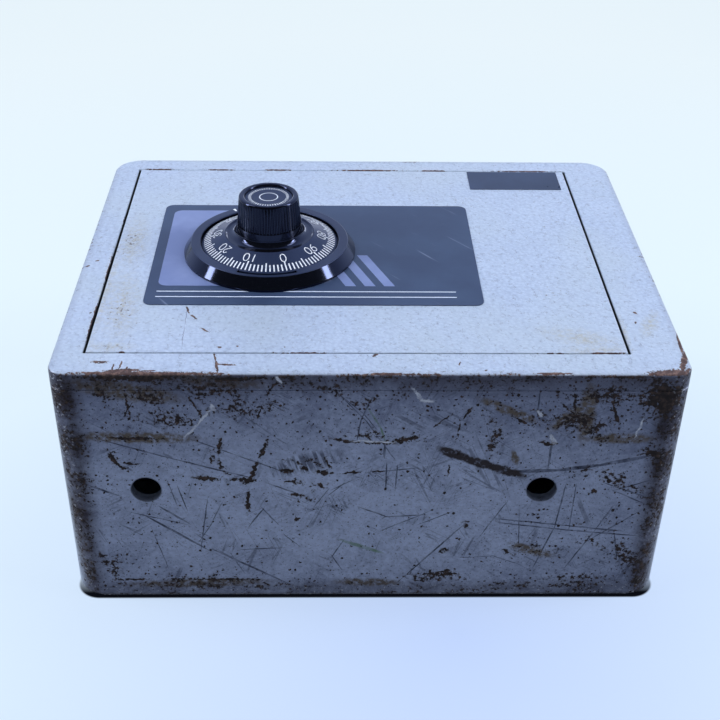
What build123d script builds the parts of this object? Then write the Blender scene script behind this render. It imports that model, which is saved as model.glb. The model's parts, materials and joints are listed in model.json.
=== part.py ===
from build123d import *
import os
from math import atan, atan2, cos, degrees, hypot, radians, sin

# Home safe, standing on its base with the door to the front (-Y), +Z up.
# Origin: centre of the cabinet's base. All sizes in millimetres.

# Cabinet: bent wrap, face frame and back plate
body_width = 330.0
body_height = 265.0
body_depth = 152.0
wrap_wall = 6.0
wrap_bend = 17.0
foot_bend_front = 9.5
foot_bend_back = 17.0
frame_thickness = 10.0
back_thickness = 6.0
back_edge_round = 4.0
front_edge_round = 1.6
weld_groove = 0.5

# Borders of the face frame round the door opening
lock_border = 15.6
hinge_border = 29.0
foot_border = 20.0
head_border = 16.0

# Anchor holes through the base
anchor_radius = 8.0
anchor_spacing = 212.4
anchor_centre_x = -13.4
anchor_from_front = 74.0

# Door plate and its gaps
door_thickness = 10.0
side_gap = 1.5
end_gap = 0.8
door_edge_round = 0.6

# Hinge: two pins in the frame, turning in bushes in the door's edge
hinge_inset = 12.0
pin_radius = 3.0
pin_seat = 8.0
pin_reach = 13.5
bush_radius = 4.0
bush_length = 14.0
running_gap = 0.05
washer_radius = 4.6

# Stops behind the frame, above and below the door
stop_thickness = 5.0
stop_reveal = 6.0
stop_height = 12.0
stop_inset = 9.0
stop_clear_of_hinge = 22.0

# Fixed dog bar on the hinge edge of the door
dog_thickness = 8.0
dog_height = 170.0
dog_seat = 18.0
dog_reach = 6.5
dog_gap = 0.5

# Printed foils on the door
foil_thickness = 0.5
label_width = 188.8
label_height = 124.8
label_corner = 5.0
label_inset = 23.2
label_rise = 48.3
sticker_width = 59.7
sticker_height = 27.1
sticker_side_inset = 5.0
sticker_top_inset = 1.3
sticker_thickness = 0.3

# Dial: place on the door, ring, conical disc, crown and knob (heights above the door face)
dial_inset = 90.8
dial_rise = 112.1
ring_radius = 50.5
ring_foot = 1.3
ring_height = 8.3
ring_top_radius = 45.9
ring_bore = 40.6
ring_floor = 2.4
ring_edge_round = 0.5
reading_notch_depth = 3.0
reading_notch_radius = 44.4
reading_notch_half_angle = 23.0
disc_gap = 0.9
disc_lift = 0.9
disc_edge_height = 6.7
crown_radius = 26.2
crown_height = 13.0
crown_top = 0.6
crown_fall = 0.8
flare_radius = 4.0
neck_foot_radius = 19.4
neck_radius = 19.0
grip_foot = 19.9
grip_top = 36.9
grip_foot_radius = 18.6
grip_top_radius = 17.2
flute_count = 60
flute_radius = 0.72
flute_proud = 0.12
flute_top_gap = 1.3
flute_reach = 2.0
cap_radius = 13.8
cap_drop = 1.5
cap_thickness = 1.2
cap_edge_round = 0.3
knob_floor = 3.2
grip_edge_round = 1.2
screw_slot_half_length = 5.0
screw_slot_half_width = 0.5

# Spindle, its tube and the screws that carry the dial
spindle_radius = 3.95
tube_gap = 0.08
tube_wall = 1.9
knob_screw_radius = 2.0
knob_screw_head_radius = 4.2
knob_screw_head = 2.2
knob_screw_length = 14.0
ring_screw_radius = 2.0
ring_screw_head_radius = 4.0
ring_screw_head = 1.1
ring_screw_circle = 31.0
ring_screw_bite = 7.0

# Lock case behind the door, placed round the spindle
case_to_bolt_end = 48.0
case_length = 83.0
case_height = 61.0
case_depth = 27.0
case_wall = 3.0
cover_thickness = 3.0
case_screw_radius = 3.0
case_screw_head_radius = 4.9
case_screw_head = 3.5
case_screw_inset = 7.0
case_boss_radius = 5.0
case_screw_bite = 7.0
cover_screw_radius = 2.0
cover_screw_head_radius = 3.5
cover_screw_head = 2.0
cover_screw_length = 12.0
cover_boss_radius = 3.6
cover_screw_inset = 4.6
cover_screw_offset = 20.0
cover_screw_rise = 6.0
case_corner = 3.0
screw_end_gap = 0.5
change_hole_radius = 3.2
change_hole_offset = 13.0
change_hole_angle = 300.0

# Wheel pack on its post, from the cover towards the door
wheel_count = 3
wheel_radius = 22.0
wheel_thickness = 1.6
wheel_boss_radius = 7.0
wheel_boss_length = 1.2
post_radius = 4.5
post_flange_radius = 9.0
post_flange = 0.8
post_tenon_radius = 3.0
spacer_thickness = 0.8
spacer_radius = 9.0
axial_gap = 0.1
clip_thickness = 0.8
clip_radius = 7.0
clip_mouth = 3.2
post_end = 0.8
fly_thickness = 1.0
fly_radius = 10.2
fly_tab_radius = 14.0
fly_tab_width = 4.0
fly_gap = 0.05
pick_pin_radius = 1.0
pick_pin_circle = 12.3
pick_pin_angle = 40.0
gate_width = 4.2
gate_depth = 3.6

# Drive cam on the inner end of the spindle
cam_radius = 21.0
cam_thickness = 4.0
cam_from_floor = 2.0
cam_hub_radius = 7.5
cam_hub_length = 1.6
cam_gate_width = 7.0
cam_gate_depth = 4.5
key_width = 1.8
key_depth = 1.6

# Bolt of the lock and the lever on it (x and z from the spindle)
bolt_travel = 9.0
bolt_proud = 4.0
bolt_inner_end = 25.0
bolt_height = 25.4
bolt_thickness = 12.0
bolt_edge_round = 1.0
slide_gap = 0.1
bolt_behind_lever = 0.2
rib_thickness = 2.0
lever_end_gap = 1.0
lever_pivot_z = 10.0
lever_boss_radius = 5.0
lever_thickness = 3.0
lever_arm_width = 4.6
lever_screw_radius = 2.4
lever_screw_head_radius = 4.0
lever_screw_head = 1.4
lever_screw_bite = 9.0
fence_angle = 112.0
fence_side = 3.0
fence_lift = 1.5
nose_width = 5.0
nose_angle = 126.0
spring_wire_radius = 0.3
spring_radius = 3.5
spring_turns = 3.5
spring_pitch = 0.66
spring_pocket_radius = 4.4
spring_pocket_depth = 3.2

# Boltwork: bar, two round bolts, their nuts, saddles and screws
bar_thickness = 6.0
bar_height = 136.0
bar_edge = 0.8
bar_depth = 22.0
bar_corner = 2.0
bar_screw_radius = 2.0
bar_screw_head_radius = 3.5
bar_screw_head = 3.5
bar_screw_socket = 1.6
bar_screw_length = 12.0
bar_screw_spread = 14.0
locking_radius = 7.0
locking_spread = 110.0
locking_behind_frame = 0.8
locking_retract = 0.9
locking_tip_round = 1.5
tenon_radius = 5.0
nut_flats = 15.0
nut_height = 6.0
saddle_length = 12.0
saddle_half_width = 19.0
saddle_cap = 4.0
saddle_corner = 3.0
saddle_from_edge = 4.0
saddle_gap = 0.1
saddle_screw_offset = 13.0
saddle_screw_radius = 2.5
saddle_screw_head_radius = 4.2
saddle_screw_head = 3.0
saddle_screw_bite = 6.0

# Places that follow from the sizes above
left = -body_width / 2
right = body_width / 2
front = -body_depth / 2
back = body_depth / 2
frame_back = front + frame_thickness
door_back = front + door_thickness
opening_left = left + lock_border
opening_right = right - hinge_border
opening_bottom = foot_border
opening_top = body_height - head_border
door_left = opening_left + side_gap
door_right = opening_right - side_gap
door_bottom = opening_bottom + end_gap
door_top = opening_top - end_gap
hinge_x = door_right - hinge_inset
hinge_y = front + door_thickness / 2
dial_x = door_left + dial_inset
dial_z = door_bottom + dial_rise
label_face = front - foil_thickness
tube_radius = spindle_radius + tube_gap + tube_wall
disc_radius = ring_bore - disc_gap
disc_foot = ring_floor + disc_lift
case_left = dial_x - case_to_bolt_end
case_right = case_left + case_length
case_floor = door_back + case_wall
case_back = door_back + case_depth
cover_back = case_back + cover_thickness
cam_front = case_floor + cam_from_floor
cam_back = cam_front + cam_thickness
spindle_end = cam_back + cam_hub_length
lever_back = cam_front + lever_thickness
bolt_front = cam_back + bolt_behind_lever
bolt_back = bolt_front + bolt_thickness
bolt_middle = (bolt_front + bolt_back) / 2
lever_pivot_x = case_wall + lever_boss_radius + bolt_travel + lever_end_gap - case_to_bolt_end
bolt_outer = case_left - bolt_proud
bar_left = bolt_outer - bar_thickness
locking_y = frame_back + locking_behind_frame + locking_radius
locking_tip = door_left + locking_retract
wheel_pitch = wheel_thickness + wheel_boss_length + spacer_thickness + 2 * axial_gap
first_wheel_back = case_back - post_flange - axial_gap
saddle_left = door_left + saddle_from_edge
saddle_top = locking_y + locking_radius + saddle_gap + saddle_cap


def block(x0, x1, y0, y1, z0, z1):
    return Pos((x0 + x1) / 2, (y0 + y1) / 2, (z0 + z1) / 2) * Box(x1 - x0, y1 - y0, z1 - z0)


def rod_x(radius, x0, x1, y, z):
    return Pos((x0 + x1) / 2, y, z) * Rot(0, 90, 0) * Cylinder(radius, x1 - x0)


def rod_y(radius, y0, y1, x=dial_x, z=dial_z):
    return Pos(x, (y0 + y1) / 2, z) * Rot(90, 0, 0) * Cylinder(radius, y1 - y0)


def rod_z(radius, z0, z1, x, y):
    return Pos(x, y, (z0 + z1) / 2) * Cylinder(radius, z1 - z0)


def plate_y(outline, y0, y1, x=0.0, z=0.0):
    """A flat outline drawn in X and Z, made solid from y0 to y1."""
    plane = Plane(origin=(x, y1, z), x_dir=(1, 0, 0), z_dir=(0, -1, 0))
    return extrude(plane * outline, y1 - y0)


def turned(profile):
    """A part turned about the spindle from a face drawn in (radius, height in front of the door)."""
    return Pos(dial_x, front, dial_z) * Rot(90, 0, 0) * revolve(Plane.XZ * profile, Axis.Z)


def at_angle(radius, angle):
    """X and Z of a point on a circle about the spindle."""
    return dial_x + radius * cos(radians(angle)), dial_z + radius * sin(radians(angle))


def edges_along_y(solid):
    return solid.edges().filter_by(Axis.Y)


def save(name, *solids):
    parts = [solid for shape in solids for solid in shape.solids()]
    shape = parts[0] if len(parts) == 1 else Compound(parts)
    export_step(shape, f"parts/{name}.step")


def rounded_section(foot_bend, inset=0.0):
    """Outline of the wrap, drawn in from its outside by inset, with bends of their own at the foot."""
    section = Rectangle(body_width - 2 * inset, body_height - 2 * inset)
    section = fillet(section.vertices().group_by(Axis.Y)[-1], wrap_bend - inset)
    section = fillet(section.vertices().group_by(Axis.Y)[0], foot_bend - inset)
    return Pos(0, body_height / 2) * section


def bend_waste(bend, y, side):
    """What a bend of this radius takes off a sharp lower corner, as a face at y that runs past the corner."""
    past = wrap_wall
    edge = side * body_width / 2
    lift = bend * (1 - cos(radians(45)))
    outline = ThreePointArc((edge, bend), (edge - side * lift, lift), (edge - side * bend, 0)) + Polyline(
        (edge - side * bend, 0), (edge - side * bend, -past), (edge + side * past, -past),
        (edge + side * past, bend), (edge, bend)
    )
    return Pos(0, y, 0) * Rot(90, 0, 0) * make_face(outline)


def body_wrap():
    # The lower bends are tight at the frame and widen towards the back plate
    wrap_back = back - back_thickness
    shell = plate_y(rounded_section(foot_bend_front), frame_back, wrap_back)
    shell = chamfer(shell.faces().sort_by(Axis.Y)[0].outer_wire().edges(), weld_groove)
    for side in (-1, 1):
        shell -= loft([
            bend_waste(foot_bend_front, frame_back, side), bend_waste(foot_bend_back, wrap_back, side)
        ], ruled=True)
    shell -= plate_y(rounded_section(foot_bend_back, wrap_wall), frame_back - 1, wrap_back + 1)
    for side in (-1, 1):
        x = anchor_centre_x + side * anchor_spacing / 2
        shell -= rod_z(anchor_radius, -1, wrap_wall + 1, x, front + anchor_from_front)
    return shell


def back_plate():
    plate = plate_y(rounded_section(foot_bend_back), back - back_thickness, back)
    return fillet(plate.faces().sort_by(Axis.Y)[-1].outer_wire().edges(), back_edge_round)


def front_frame():
    plate = plate_y(rounded_section(foot_bend_front), front, frame_back)
    plate = fillet(plate.faces().sort_by(Axis.Y)[0].outer_wire().edges(), front_edge_round)
    plate = chamfer(plate.faces().sort_by(Axis.Y)[-1].outer_wire().edges(), weld_groove)
    plate -= block(opening_left, opening_right, front - 1, frame_back + 1, opening_bottom, opening_top)
    rim = plate.faces().sort_by(Axis.Y)[0].inner_wires()[0].edges()
    plate = fillet(rim, door_edge_round)
    plate -= rod_z(pin_radius, opening_bottom - pin_seat, opening_bottom + 1, hinge_x, hinge_y)
    return plate - rod_z(pin_radius, opening_top - 1, opening_top + pin_seat, hinge_x, hinge_y)


def door_stop(z_edge, outward):
    """A welded strip that shows stop_reveal of its height inside the opening."""
    inner = z_edge - outward * stop_reveal
    z0, z1 = sorted((inner, inner + outward * stop_height))
    x1 = hinge_x - stop_clear_of_hinge
    return block(opening_left + stop_inset, x1, frame_back, frame_back + stop_thickness, z0, z1)


def hinge_pin(upper):
    if upper:
        return rod_z(pin_radius, door_top - pin_reach, opening_top + pin_seat, hinge_x, hinge_y)
    return rod_z(pin_radius, opening_bottom - pin_seat, door_bottom + pin_reach, hinge_x, hinge_y)


def hinge_washer():
    ring = rod_z(washer_radius, opening_bottom, door_bottom, hinge_x, hinge_y)
    bore = rod_z(pin_radius + running_gap, opening_bottom - 1, door_bottom + 1, hinge_x, hinge_y)
    return ring - bore


def hinge_bush(z0, z1):
    sleeve = rod_z(bush_radius, z0, z1, hinge_x, hinge_y)
    return sleeve - rod_z(pin_radius + running_gap, z0 - 1, z1 + 1, hinge_x, hinge_y)


def door_plate():
    plate = block(door_left, door_right, front, door_back, door_bottom, door_top)
    plate = fillet(plate.faces().sort_by(Axis.Y)[0].outer_wire().edges(), door_edge_round)
    for z0, z1 in bush_spans():
        plate -= rod_z(bush_radius, z0, z1, hinge_x, hinge_y)
    plate -= rod_y(tube_radius, front - 1, door_back + 1)
    for x, z in ring_screw_places():
        plate -= rod_y(ring_screw_radius, front - 1, front + ring_screw_bite, x, z)
    for x, z in case_screw_places():
        plate -= rod_y(case_screw_radius, door_back - case_screw_bite, door_back + 1, x, z)
    for x, z in saddle_screw_places():
        plate -= rod_y(saddle_screw_radius, door_back - saddle_screw_bite, door_back + 1, x, z)
    return plate


def bush_spans():
    return (door_bottom, door_bottom + bush_length), (door_top - bush_length, door_top)


def dog_bar():
    z0 = (door_bottom + door_top - dog_height) / 2
    z1 = z0 + dog_height
    tip = opening_right + dog_reach
    bar = block(door_right - dog_seat, tip, door_back, door_back + dog_thickness, z0, z1)
    return bar - block(door_right, tip + 1, door_back - 1, frame_back + dog_gap, z0 - 1, z1 + 1)


def label_plate():
    x = door_left + label_inset + label_width / 2
    z = door_bottom + label_rise + label_height / 2
    outline = RectangleRounded(label_width, label_height, label_corner)
    plate = plate_y(outline, label_face, front, x, z)
    plate -= rod_y(tube_radius, label_face - 1, front + 1)
    for screw_x, screw_z in ring_screw_places():
        plate -= rod_y(ring_screw_radius, label_face - 1, front + 1, screw_x, screw_z)
    return plate


def service_sticker():
    x1 = door_right - sticker_side_inset
    z1 = door_top - sticker_top_inset
    return block(x1 - sticker_width, x1, front - sticker_thickness, front, z1 - sticker_height, z1)


def ring_screw_places():
    return [at_angle(ring_screw_circle, angle) for angle in (0, 180)]


def dial_ring():
    foot = foil_thickness
    profile = Polyline(
        (tube_radius, foot),
        (ring_radius, foot),
        (ring_radius, foot + ring_foot),
        (ring_top_radius, ring_height),
        (ring_bore, ring_height),
        (ring_bore, ring_floor),
        (tube_radius, ring_floor),
        close=True,
    )
    ring = turned(make_face(profile))
    crown = [
        edge
        for edge in ring.edges().filter_by(GeomType.CIRCLE)
        if abs(edge.center().Y - (front - ring_height)) < 0.01
    ]
    ring = fillet(crown, ring_edge_round)
    for x, z in ring_screw_places():
        ring -= rod_y(ring_screw_radius, front - ring_floor - 1, front, x, z)
        sunk = front - ring_floor + ring_screw_head
        ring -= rod_y(ring_screw_head_radius, front - ring_floor - 1, sunk, x, z)
    return ring - reading_notch()


def reading_notch():
    """Cut in the crown of the ring at six o'clock, with a thin lip left outside it."""
    top = front - ring_height
    pocket = rod_y(reading_notch_radius, top - 1, top + reading_notch_depth)
    pocket -= rod_y(ring_bore - ring_edge_round, top - 2, top + reading_notch_depth + 1)
    across = 2 * ring_radius * sin(radians(reading_notch_half_angle))
    down = -2 * ring_radius * cos(radians(reading_notch_half_angle))
    wedge = make_face(Polyline((0, 0), (-across, down), (across, down), close=True))
    return pocket & plate_y(wedge, top - 2, top + reading_notch_depth + 1, dial_x, dial_z)


def ring_screw(x, z):
    head_back = front - ring_floor + ring_screw_head
    head = rod_y(ring_screw_head_radius, head_back - ring_screw_head, head_back, x, z)
    return head + rod_y(ring_screw_radius, head_back - 0.2, front + ring_screw_bite - 0.5, x, z)


def spindle_tube():
    y0 = front - ring_floor
    tube = rod_y(tube_radius, y0, case_floor)
    return tube - rod_y(spindle_radius + tube_gap, y0 - 1, case_floor + 1)


def dial_disc():
    """Conical numbered disc, its crown and the flared neck that rises to the knob."""
    flare_foot = crown_height - crown_fall
    flare_middle = flare_radius * (1 - sin(radians(45)))
    flare = ThreePointArc(
        (neck_foot_radius + flare_radius, flare_foot),
        (neck_foot_radius + flare_middle, flare_foot + flare_middle),
        (neck_foot_radius, flare_foot + flare_radius),
    )
    outline = Polyline(
        (neck_foot_radius, flare_foot + flare_radius),
        (neck_radius, grip_foot),
        (spindle_radius, grip_foot),
        (spindle_radius, disc_foot),
        (disc_radius, disc_foot),
        (disc_radius, disc_edge_height),
        (crown_radius, crown_height),
        (crown_radius - crown_top, crown_height),
        (crown_radius - crown_top - crown_fall, flare_foot),
        (neck_foot_radius + flare_radius, flare_foot),
    )
    profile = make_face(Wire(outline.edges() + flare.edges()))
    return turned(profile)


def knob():
    cap_seat = grip_top - cap_drop - cap_thickness
    profile = Polyline(
        (knob_screw_radius, grip_foot),
        (grip_foot_radius, grip_foot),
        (grip_top_radius, grip_top),
        (cap_radius, grip_top),
        (cap_radius, cap_seat),
        (knob_screw_head_radius, cap_seat),
        (knob_screw_head_radius, grip_foot + knob_floor),
        (knob_screw_radius, grip_foot + knob_floor),
        close=True,
    )
    body = turned(make_face(profile))
    rim = [
        edge
        for edge in body.edges().filter_by(GeomType.CIRCLE)
        if abs(edge.center().Y - (front - grip_top)) < 0.01
    ]
    body = fillet(rim, grip_edge_round)
    return body - flutes()


def flutes():
    """Straight grooves round the tapered grip."""
    length = grip_top - grip_foot
    lean = (grip_foot_radius - grip_top_radius) / length
    cutters = []
    for index in range(flute_count):
        turn = 360 * index / flute_count
        groove = Pos(0, 0, length / 2) * Cylinder(flute_radius, length + 2 * flute_reach)
        groove = Pos(grip_foot_radius + flute_proud, 0, grip_foot) * Rot(0, -degrees(atan(lean)), 0) * groove
        cutters.append(Pos(dial_x, front, dial_z) * Rot(90, 0, 0) * Rot(0, 0, turn) * groove)
    keep = rod_y(grip_foot_radius + flute_reach, front - grip_top + flute_top_gap, front - grip_foot)
    return [cutter & keep for cutter in cutters]


def knob_cap():
    top = front - grip_top + cap_drop
    cap = rod_y(cap_radius, top, top + cap_thickness)
    return fillet(cap.faces().sort_by(Axis.Y)[0].edges(), cap_edge_round)


def knob_screw():
    seat = front - grip_foot - knob_floor
    head = rod_y(knob_screw_head_radius - 0.1, seat - knob_screw_head, seat)
    head -= screw_slot(dial_x, dial_z, seat, knob_screw_head)
    return head + rod_y(knob_screw_radius, seat - 0.2, seat + knob_screw_length)


def screw_slot(x, z, seat, head):
    """Driver slot that takes the outer half of a head seated at y = seat."""
    across, half = screw_slot_half_length, screw_slot_half_width
    return block(x - across, x + across, seat - head - 1, seat - head / 2, z - half, z + half)


def spline_key():
    """Key that locks the drive cam to the spindle, straight below the axis."""
    z = dial_z - spindle_radius
    half = key_width / 2
    return block(dial_x - half, dial_x + half, cam_front, spindle_end, z - key_depth, z + key_depth / 2)


def spindle():
    outer_end = front - grip_foot
    rod = rod_y(spindle_radius, outer_end, spindle_end)
    rod -= rod_y(knob_screw_radius, outer_end - 1, outer_end - knob_floor + knob_screw_length + 0.5)
    return rod - spline_key()


def radial_cut(radius, angle, width, depth, y0, y1):
    """A slot cut inwards from a rim, wide enough to run out past it."""
    cut = Pos(radius - depth / 2 + 1, 0, 0) * Box(depth + 2, y1 - y0, width)
    return Pos(dial_x, (y0 + y1) / 2, dial_z) * Rot(0, -angle, 0) * cut


def drive_cam():
    cam = rod_y(cam_radius, cam_front, cam_back) + rod_y(cam_hub_radius, cam_back - 0.1, spindle_end)
    cam -= rod_y(spindle_radius, cam_front - 1, spindle_end + 1)
    cam -= radial_cut(cam_radius, nose_angle, cam_gate_width, cam_gate_depth, cam_front - 1, cam_back + 1)
    x, z = at_angle(pick_pin_circle, fence_angle + 180 + pick_pin_angle)
    reach = wheel_back(wheel_count - 1) - wheel_thickness - 3 * axial_gap
    cam += rod_y(pick_pin_radius, cam_back - 0.1, reach, x, z)
    return cam - spline_key()


def wheel_back(index):
    """Y of the back face of a wheel, counted from the cover."""
    return first_wheel_back - index * wheel_pitch


def wheel(index):
    y1 = wheel_back(index)
    y0 = y1 - wheel_thickness
    disc = rod_y(wheel_radius, y0, y1) + rod_y(wheel_boss_radius, y0 - wheel_boss_length, y0 + 0.1)
    disc -= rod_y(post_radius + running_gap, y0 - wheel_boss_length - 1, y1 + 1)
    disc -= radial_cut(wheel_radius, fence_angle, gate_width, gate_depth, y0 - 1, y1 + 1)
    if index > 0:
        x, z = at_angle(pick_pin_circle, fence_angle + 180 + pick_pin_angle)
        reach = wheel_back(index - 1) - wheel_thickness - 3 * axial_gap
        disc += rod_y(pick_pin_radius, y1 - 0.1, reach, x, z)
    return disc


def fly(index):
    y1 = wheel_back(index) - wheel_thickness - axial_gap
    y0 = y1 - fly_thickness
    tab = Pos(fly_tab_radius / 2, 0, 0) * Box(fly_tab_radius, fly_thickness, fly_tab_width)
    tab = Pos(dial_x, (y0 + y1) / 2, dial_z) * Rot(0, -(fence_angle + 180), 0) * tab
    return rod_y(fly_radius, y0, y1) + tab - rod_y(wheel_boss_radius + fly_gap, y0 - 1, y1 + 1)


def wheel_spacer(index):
    y1 = wheel_back(index) - wheel_thickness - wheel_boss_length - axial_gap
    ring = rod_y(spacer_radius, y1 - spacer_thickness, y1)
    return ring - rod_y(post_radius, y1 - spacer_thickness - 1, y1 + 1)


def post_clip():
    y1 = wheel_back(wheel_count - 1) - wheel_thickness - wheel_boss_length - axial_gap
    ring = rod_y(clip_radius, y1 - clip_thickness, y1) - rod_y(post_radius, y1 - clip_thickness - 1, y1 + 1)
    half = clip_mouth / 2
    z0 = dial_z - clip_radius - 1
    return ring - block(dial_x - half, dial_x + half, y1 - clip_thickness - 1, y1 + 1, z0, dial_z)


def wheel_post():
    front_end = wheel_back(wheel_count - 1) - wheel_thickness - wheel_boss_length - axial_gap
    front_end -= clip_thickness + post_end
    post = rod_y(post_radius, front_end, case_back)
    post += rod_y(post_flange_radius, case_back - post_flange, case_back)
    return post + rod_y(post_tenon_radius, case_back - 0.1, cover_back)


def case_screw_places():
    xs = (case_left + case_screw_inset, case_right - case_screw_inset)
    rise = case_height / 2 - case_screw_inset
    return [(x, dial_z + side * rise) for x in xs for side in (-1, 1)]


def cover_screw_places():
    low = dial_z - case_height / 2 + cover_screw_rise
    return [(case_right - cover_screw_inset, dial_z), (dial_x - cover_screw_offset, low)]


def case_block(y0, y1, inset=0.0):
    half = case_height / 2 - inset
    box = block(case_left + inset, case_right - inset, y0, y1, dial_z - half, dial_z + half)
    return fillet(edges_along_y(box), case_corner - inset / 2)


def lock_case():
    half = bolt_height / 2 + slide_gap
    case = case_block(door_back, case_back) - case_block(case_floor, case_back + 1, case_wall)
    inside = case_block(case_floor - 0.1, case_back)
    for x, z in case_screw_places():
        case += rod_y(case_boss_radius, case_floor - 0.1, case_back, x, z) & inside
    for x, z in cover_screw_places():
        case += rod_y(cover_boss_radius, case_floor - 0.1, case_back, x, z) & inside
    rib_end = dial_x - bolt_inner_end - 2
    rib_top = dial_z - half
    case += block(case_left + 0.5, rib_end, case_floor - 0.1, bolt_back, rib_top - rib_thickness, rib_top)
    window = (bolt_front - slide_gap, bolt_back + slide_gap, dial_z - half, dial_z + half)
    case -= block(case_left - 1, case_left + case_wall + 0.01, *window)
    case -= rod_y(tube_radius, door_back - 1, case_floor + 1)
    for x, z in case_screw_places():
        case -= rod_y(case_screw_radius, door_back - 1, case_back + 1, x, z)
    for x, z in cover_screw_places():
        case -= rod_y(cover_screw_radius, cover_back - cover_screw_length - 0.5, case_back + 1, x, z)
    return case


def lock_cover():
    cover = case_block(case_back, cover_back)
    cover -= rod_y(post_tenon_radius, case_back - 1, cover_back + 1)
    x, z = at_angle(change_hole_offset, change_hole_angle)
    cover -= rod_y(change_hole_radius, case_back - 1, cover_back + 1, x, z)
    for x, z in case_screw_places():
        cover -= rod_y(case_screw_radius, case_back - 1, cover_back + 1, x, z)
    for x, z in cover_screw_places():
        cover -= rod_y(cover_screw_radius, case_back - 1, cover_back + 1, x, z)
    return cover


def screw_y(x, z, seat, tip, radius, head_radius, head, socket):
    """A cap screw driven towards the door, its head seated at y = seat, with a hexagon socket."""
    screw = rod_y(head_radius, seat, seat + head, x, z) + rod_y(radius, tip, seat + 0.1, x, z)
    return screw - plate_y(RegularPolygon(socket, 6), seat + head * 0.4, seat + head + 1, x, z)


def lock_bolt():
    half = bolt_height / 2
    body = block(bolt_outer, dial_x - bolt_inner_end, bolt_front, bolt_back, dial_z - half, dial_z + half)
    body = fillet(body.edges().filter_by(Axis.X), bolt_edge_round)
    x, z = dial_x + lever_pivot_x, dial_z + lever_pivot_z
    body -= rod_y(spring_pocket_radius, bolt_front - 1, bolt_front + spring_pocket_depth, x, z)
    body -= rod_y(lever_screw_radius, bolt_front - 1, bolt_front + lever_screw_bite, x, z)
    for z in bar_screw_heights():
        body -= rod_x(bar_screw_radius, bolt_outer - 1, bar_left + bar_screw_length + 0.5, bolt_middle, z)
    return body


def bar_screw_heights():
    return dial_z - bar_screw_spread / 2, dial_z + bar_screw_spread / 2


def locking_heights():
    return dial_z - locking_spread / 2, dial_z + locking_spread / 2


def bolt_bar():
    y0 = door_back + bar_edge
    half = bar_height / 2
    bar = block(bar_left, bolt_outer, y0, y0 + bar_depth, dial_z - half, dial_z + half)
    bar = fillet(bar.edges().filter_by(Axis.X), bar_corner)
    for z in locking_heights():
        bar -= rod_x(tenon_radius, bar_left - 1, bolt_outer + 1, locking_y, z)
    for z in bar_screw_heights():
        bar -= rod_x(bar_screw_radius, bar_left - 1, bolt_outer + 1, bolt_middle, z)
    return bar


def bar_screw(z):
    top = bar_left - bar_screw_head
    screw = rod_x(bar_screw_head_radius, top, bar_left, bolt_middle, z)
    screw += rod_x(bar_screw_radius, bar_left - 0.1, bar_left + bar_screw_length, bolt_middle, z)
    return screw - rod_x(bar_screw_socket, top - 1, top + bar_screw_head / 2, bolt_middle, z)


def locking_bolt(z):
    rod = rod_x(locking_radius, locking_tip, bar_left, locking_y, z)
    rod = fillet(rod.faces().sort_by(Axis.X)[0].edges(), locking_tip_round)
    return rod + rod_x(tenon_radius, bar_left - 0.1, bolt_outer + nut_height, locking_y, z)


def bolt_nut(z):
    plane = Plane(origin=(bolt_outer, locking_y, z), x_dir=(0, 1, 0), z_dir=(1, 0, 0))
    outline = Rot(0, 0, 30) * RegularPolygon(nut_flats / 2, 6, major_radius=False)
    thread = rod_x(tenon_radius, bolt_outer - 1, bolt_outer + nut_height + 1, locking_y, z)
    return extrude(plane * outline, nut_height) - thread


def saddle_screw_places():
    x = saddle_left + saddle_length / 2
    return [(x, z + side * saddle_screw_offset) for z in locking_heights() for side in (-1, 1)]


def bolt_saddle(z):
    """Guide that straddles a locking bolt and holds it against the door."""
    x1 = saddle_left + saddle_length
    saddle = block(saddle_left, x1, door_back, saddle_top, z - saddle_half_width, z + saddle_half_width)
    saddle = fillet(saddle.faces().sort_by(Axis.Y)[-1].edges().filter_by(Axis.X), saddle_corner)
    bore = locking_radius + saddle_gap
    saddle -= rod_x(bore, saddle_left - 1, x1 + 1, locking_y, z)
    saddle -= block(saddle_left - 1, x1 + 1, door_back - 1, locking_y, z - bore, z + bore)
    for x, screw_z in saddle_screw_places():
        saddle -= rod_y(saddle_screw_radius, door_back - 1, saddle_top + 1, x, screw_z)
    return saddle


def lever():
    """Flat lever on the lock's bolt: boss, arm over the cam, and the nose that drops into its gate."""
    pivot = (lever_pivot_x, lever_pivot_z)
    fence = fence_middle()
    run = (fence[0] - pivot[0], fence[1] - pivot[1])
    length = hypot(*run)
    slope = Rot(0, 0, degrees(atan2(run[1], run[0])))
    outline = Pos(*pivot) * Circle(lever_boss_radius)
    outline += Pos(*pivot) * slope * Pos(length / 2 + 1) * Rectangle(length + 2, lever_arm_width)
    outline += Pos(*fence) * Circle(lever_arm_width / 2)
    nose_foot = cam_radius + fence_lift
    nose = Rot(0, 0, nose_angle) * Pos(nose_foot + 1.5) * Rectangle(3.0, nose_width)
    plate = plate_y(outline + nose, cam_front, lever_back, dial_x, dial_z)
    x, z = dial_x + lever_pivot_x, dial_z + lever_pivot_z
    plate += rod_y(lever_boss_radius, cam_front, bolt_front - axial_gap, x, z)
    return plate - rod_y(lever_screw_radius + running_gap, cam_front - 1, bolt_front + 1, x, z)


def fence_middle():
    """Middle of the fence in X and Z from the spindle, lifted clear of the wheels."""
    radius = wheel_radius + fence_lift + fence_side / 2
    return radius * cos(radians(fence_angle)), radius * sin(radians(fence_angle))


def fence_bar():
    y1 = wheel_back(0) - 0.3
    bar = Box(fence_side, y1 - lever_back, fence_side)
    x, z = fence_middle()
    return Pos(dial_x + x, (lever_back + y1) / 2, dial_z + z) * Rot(0, -fence_angle, 0) * bar


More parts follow.
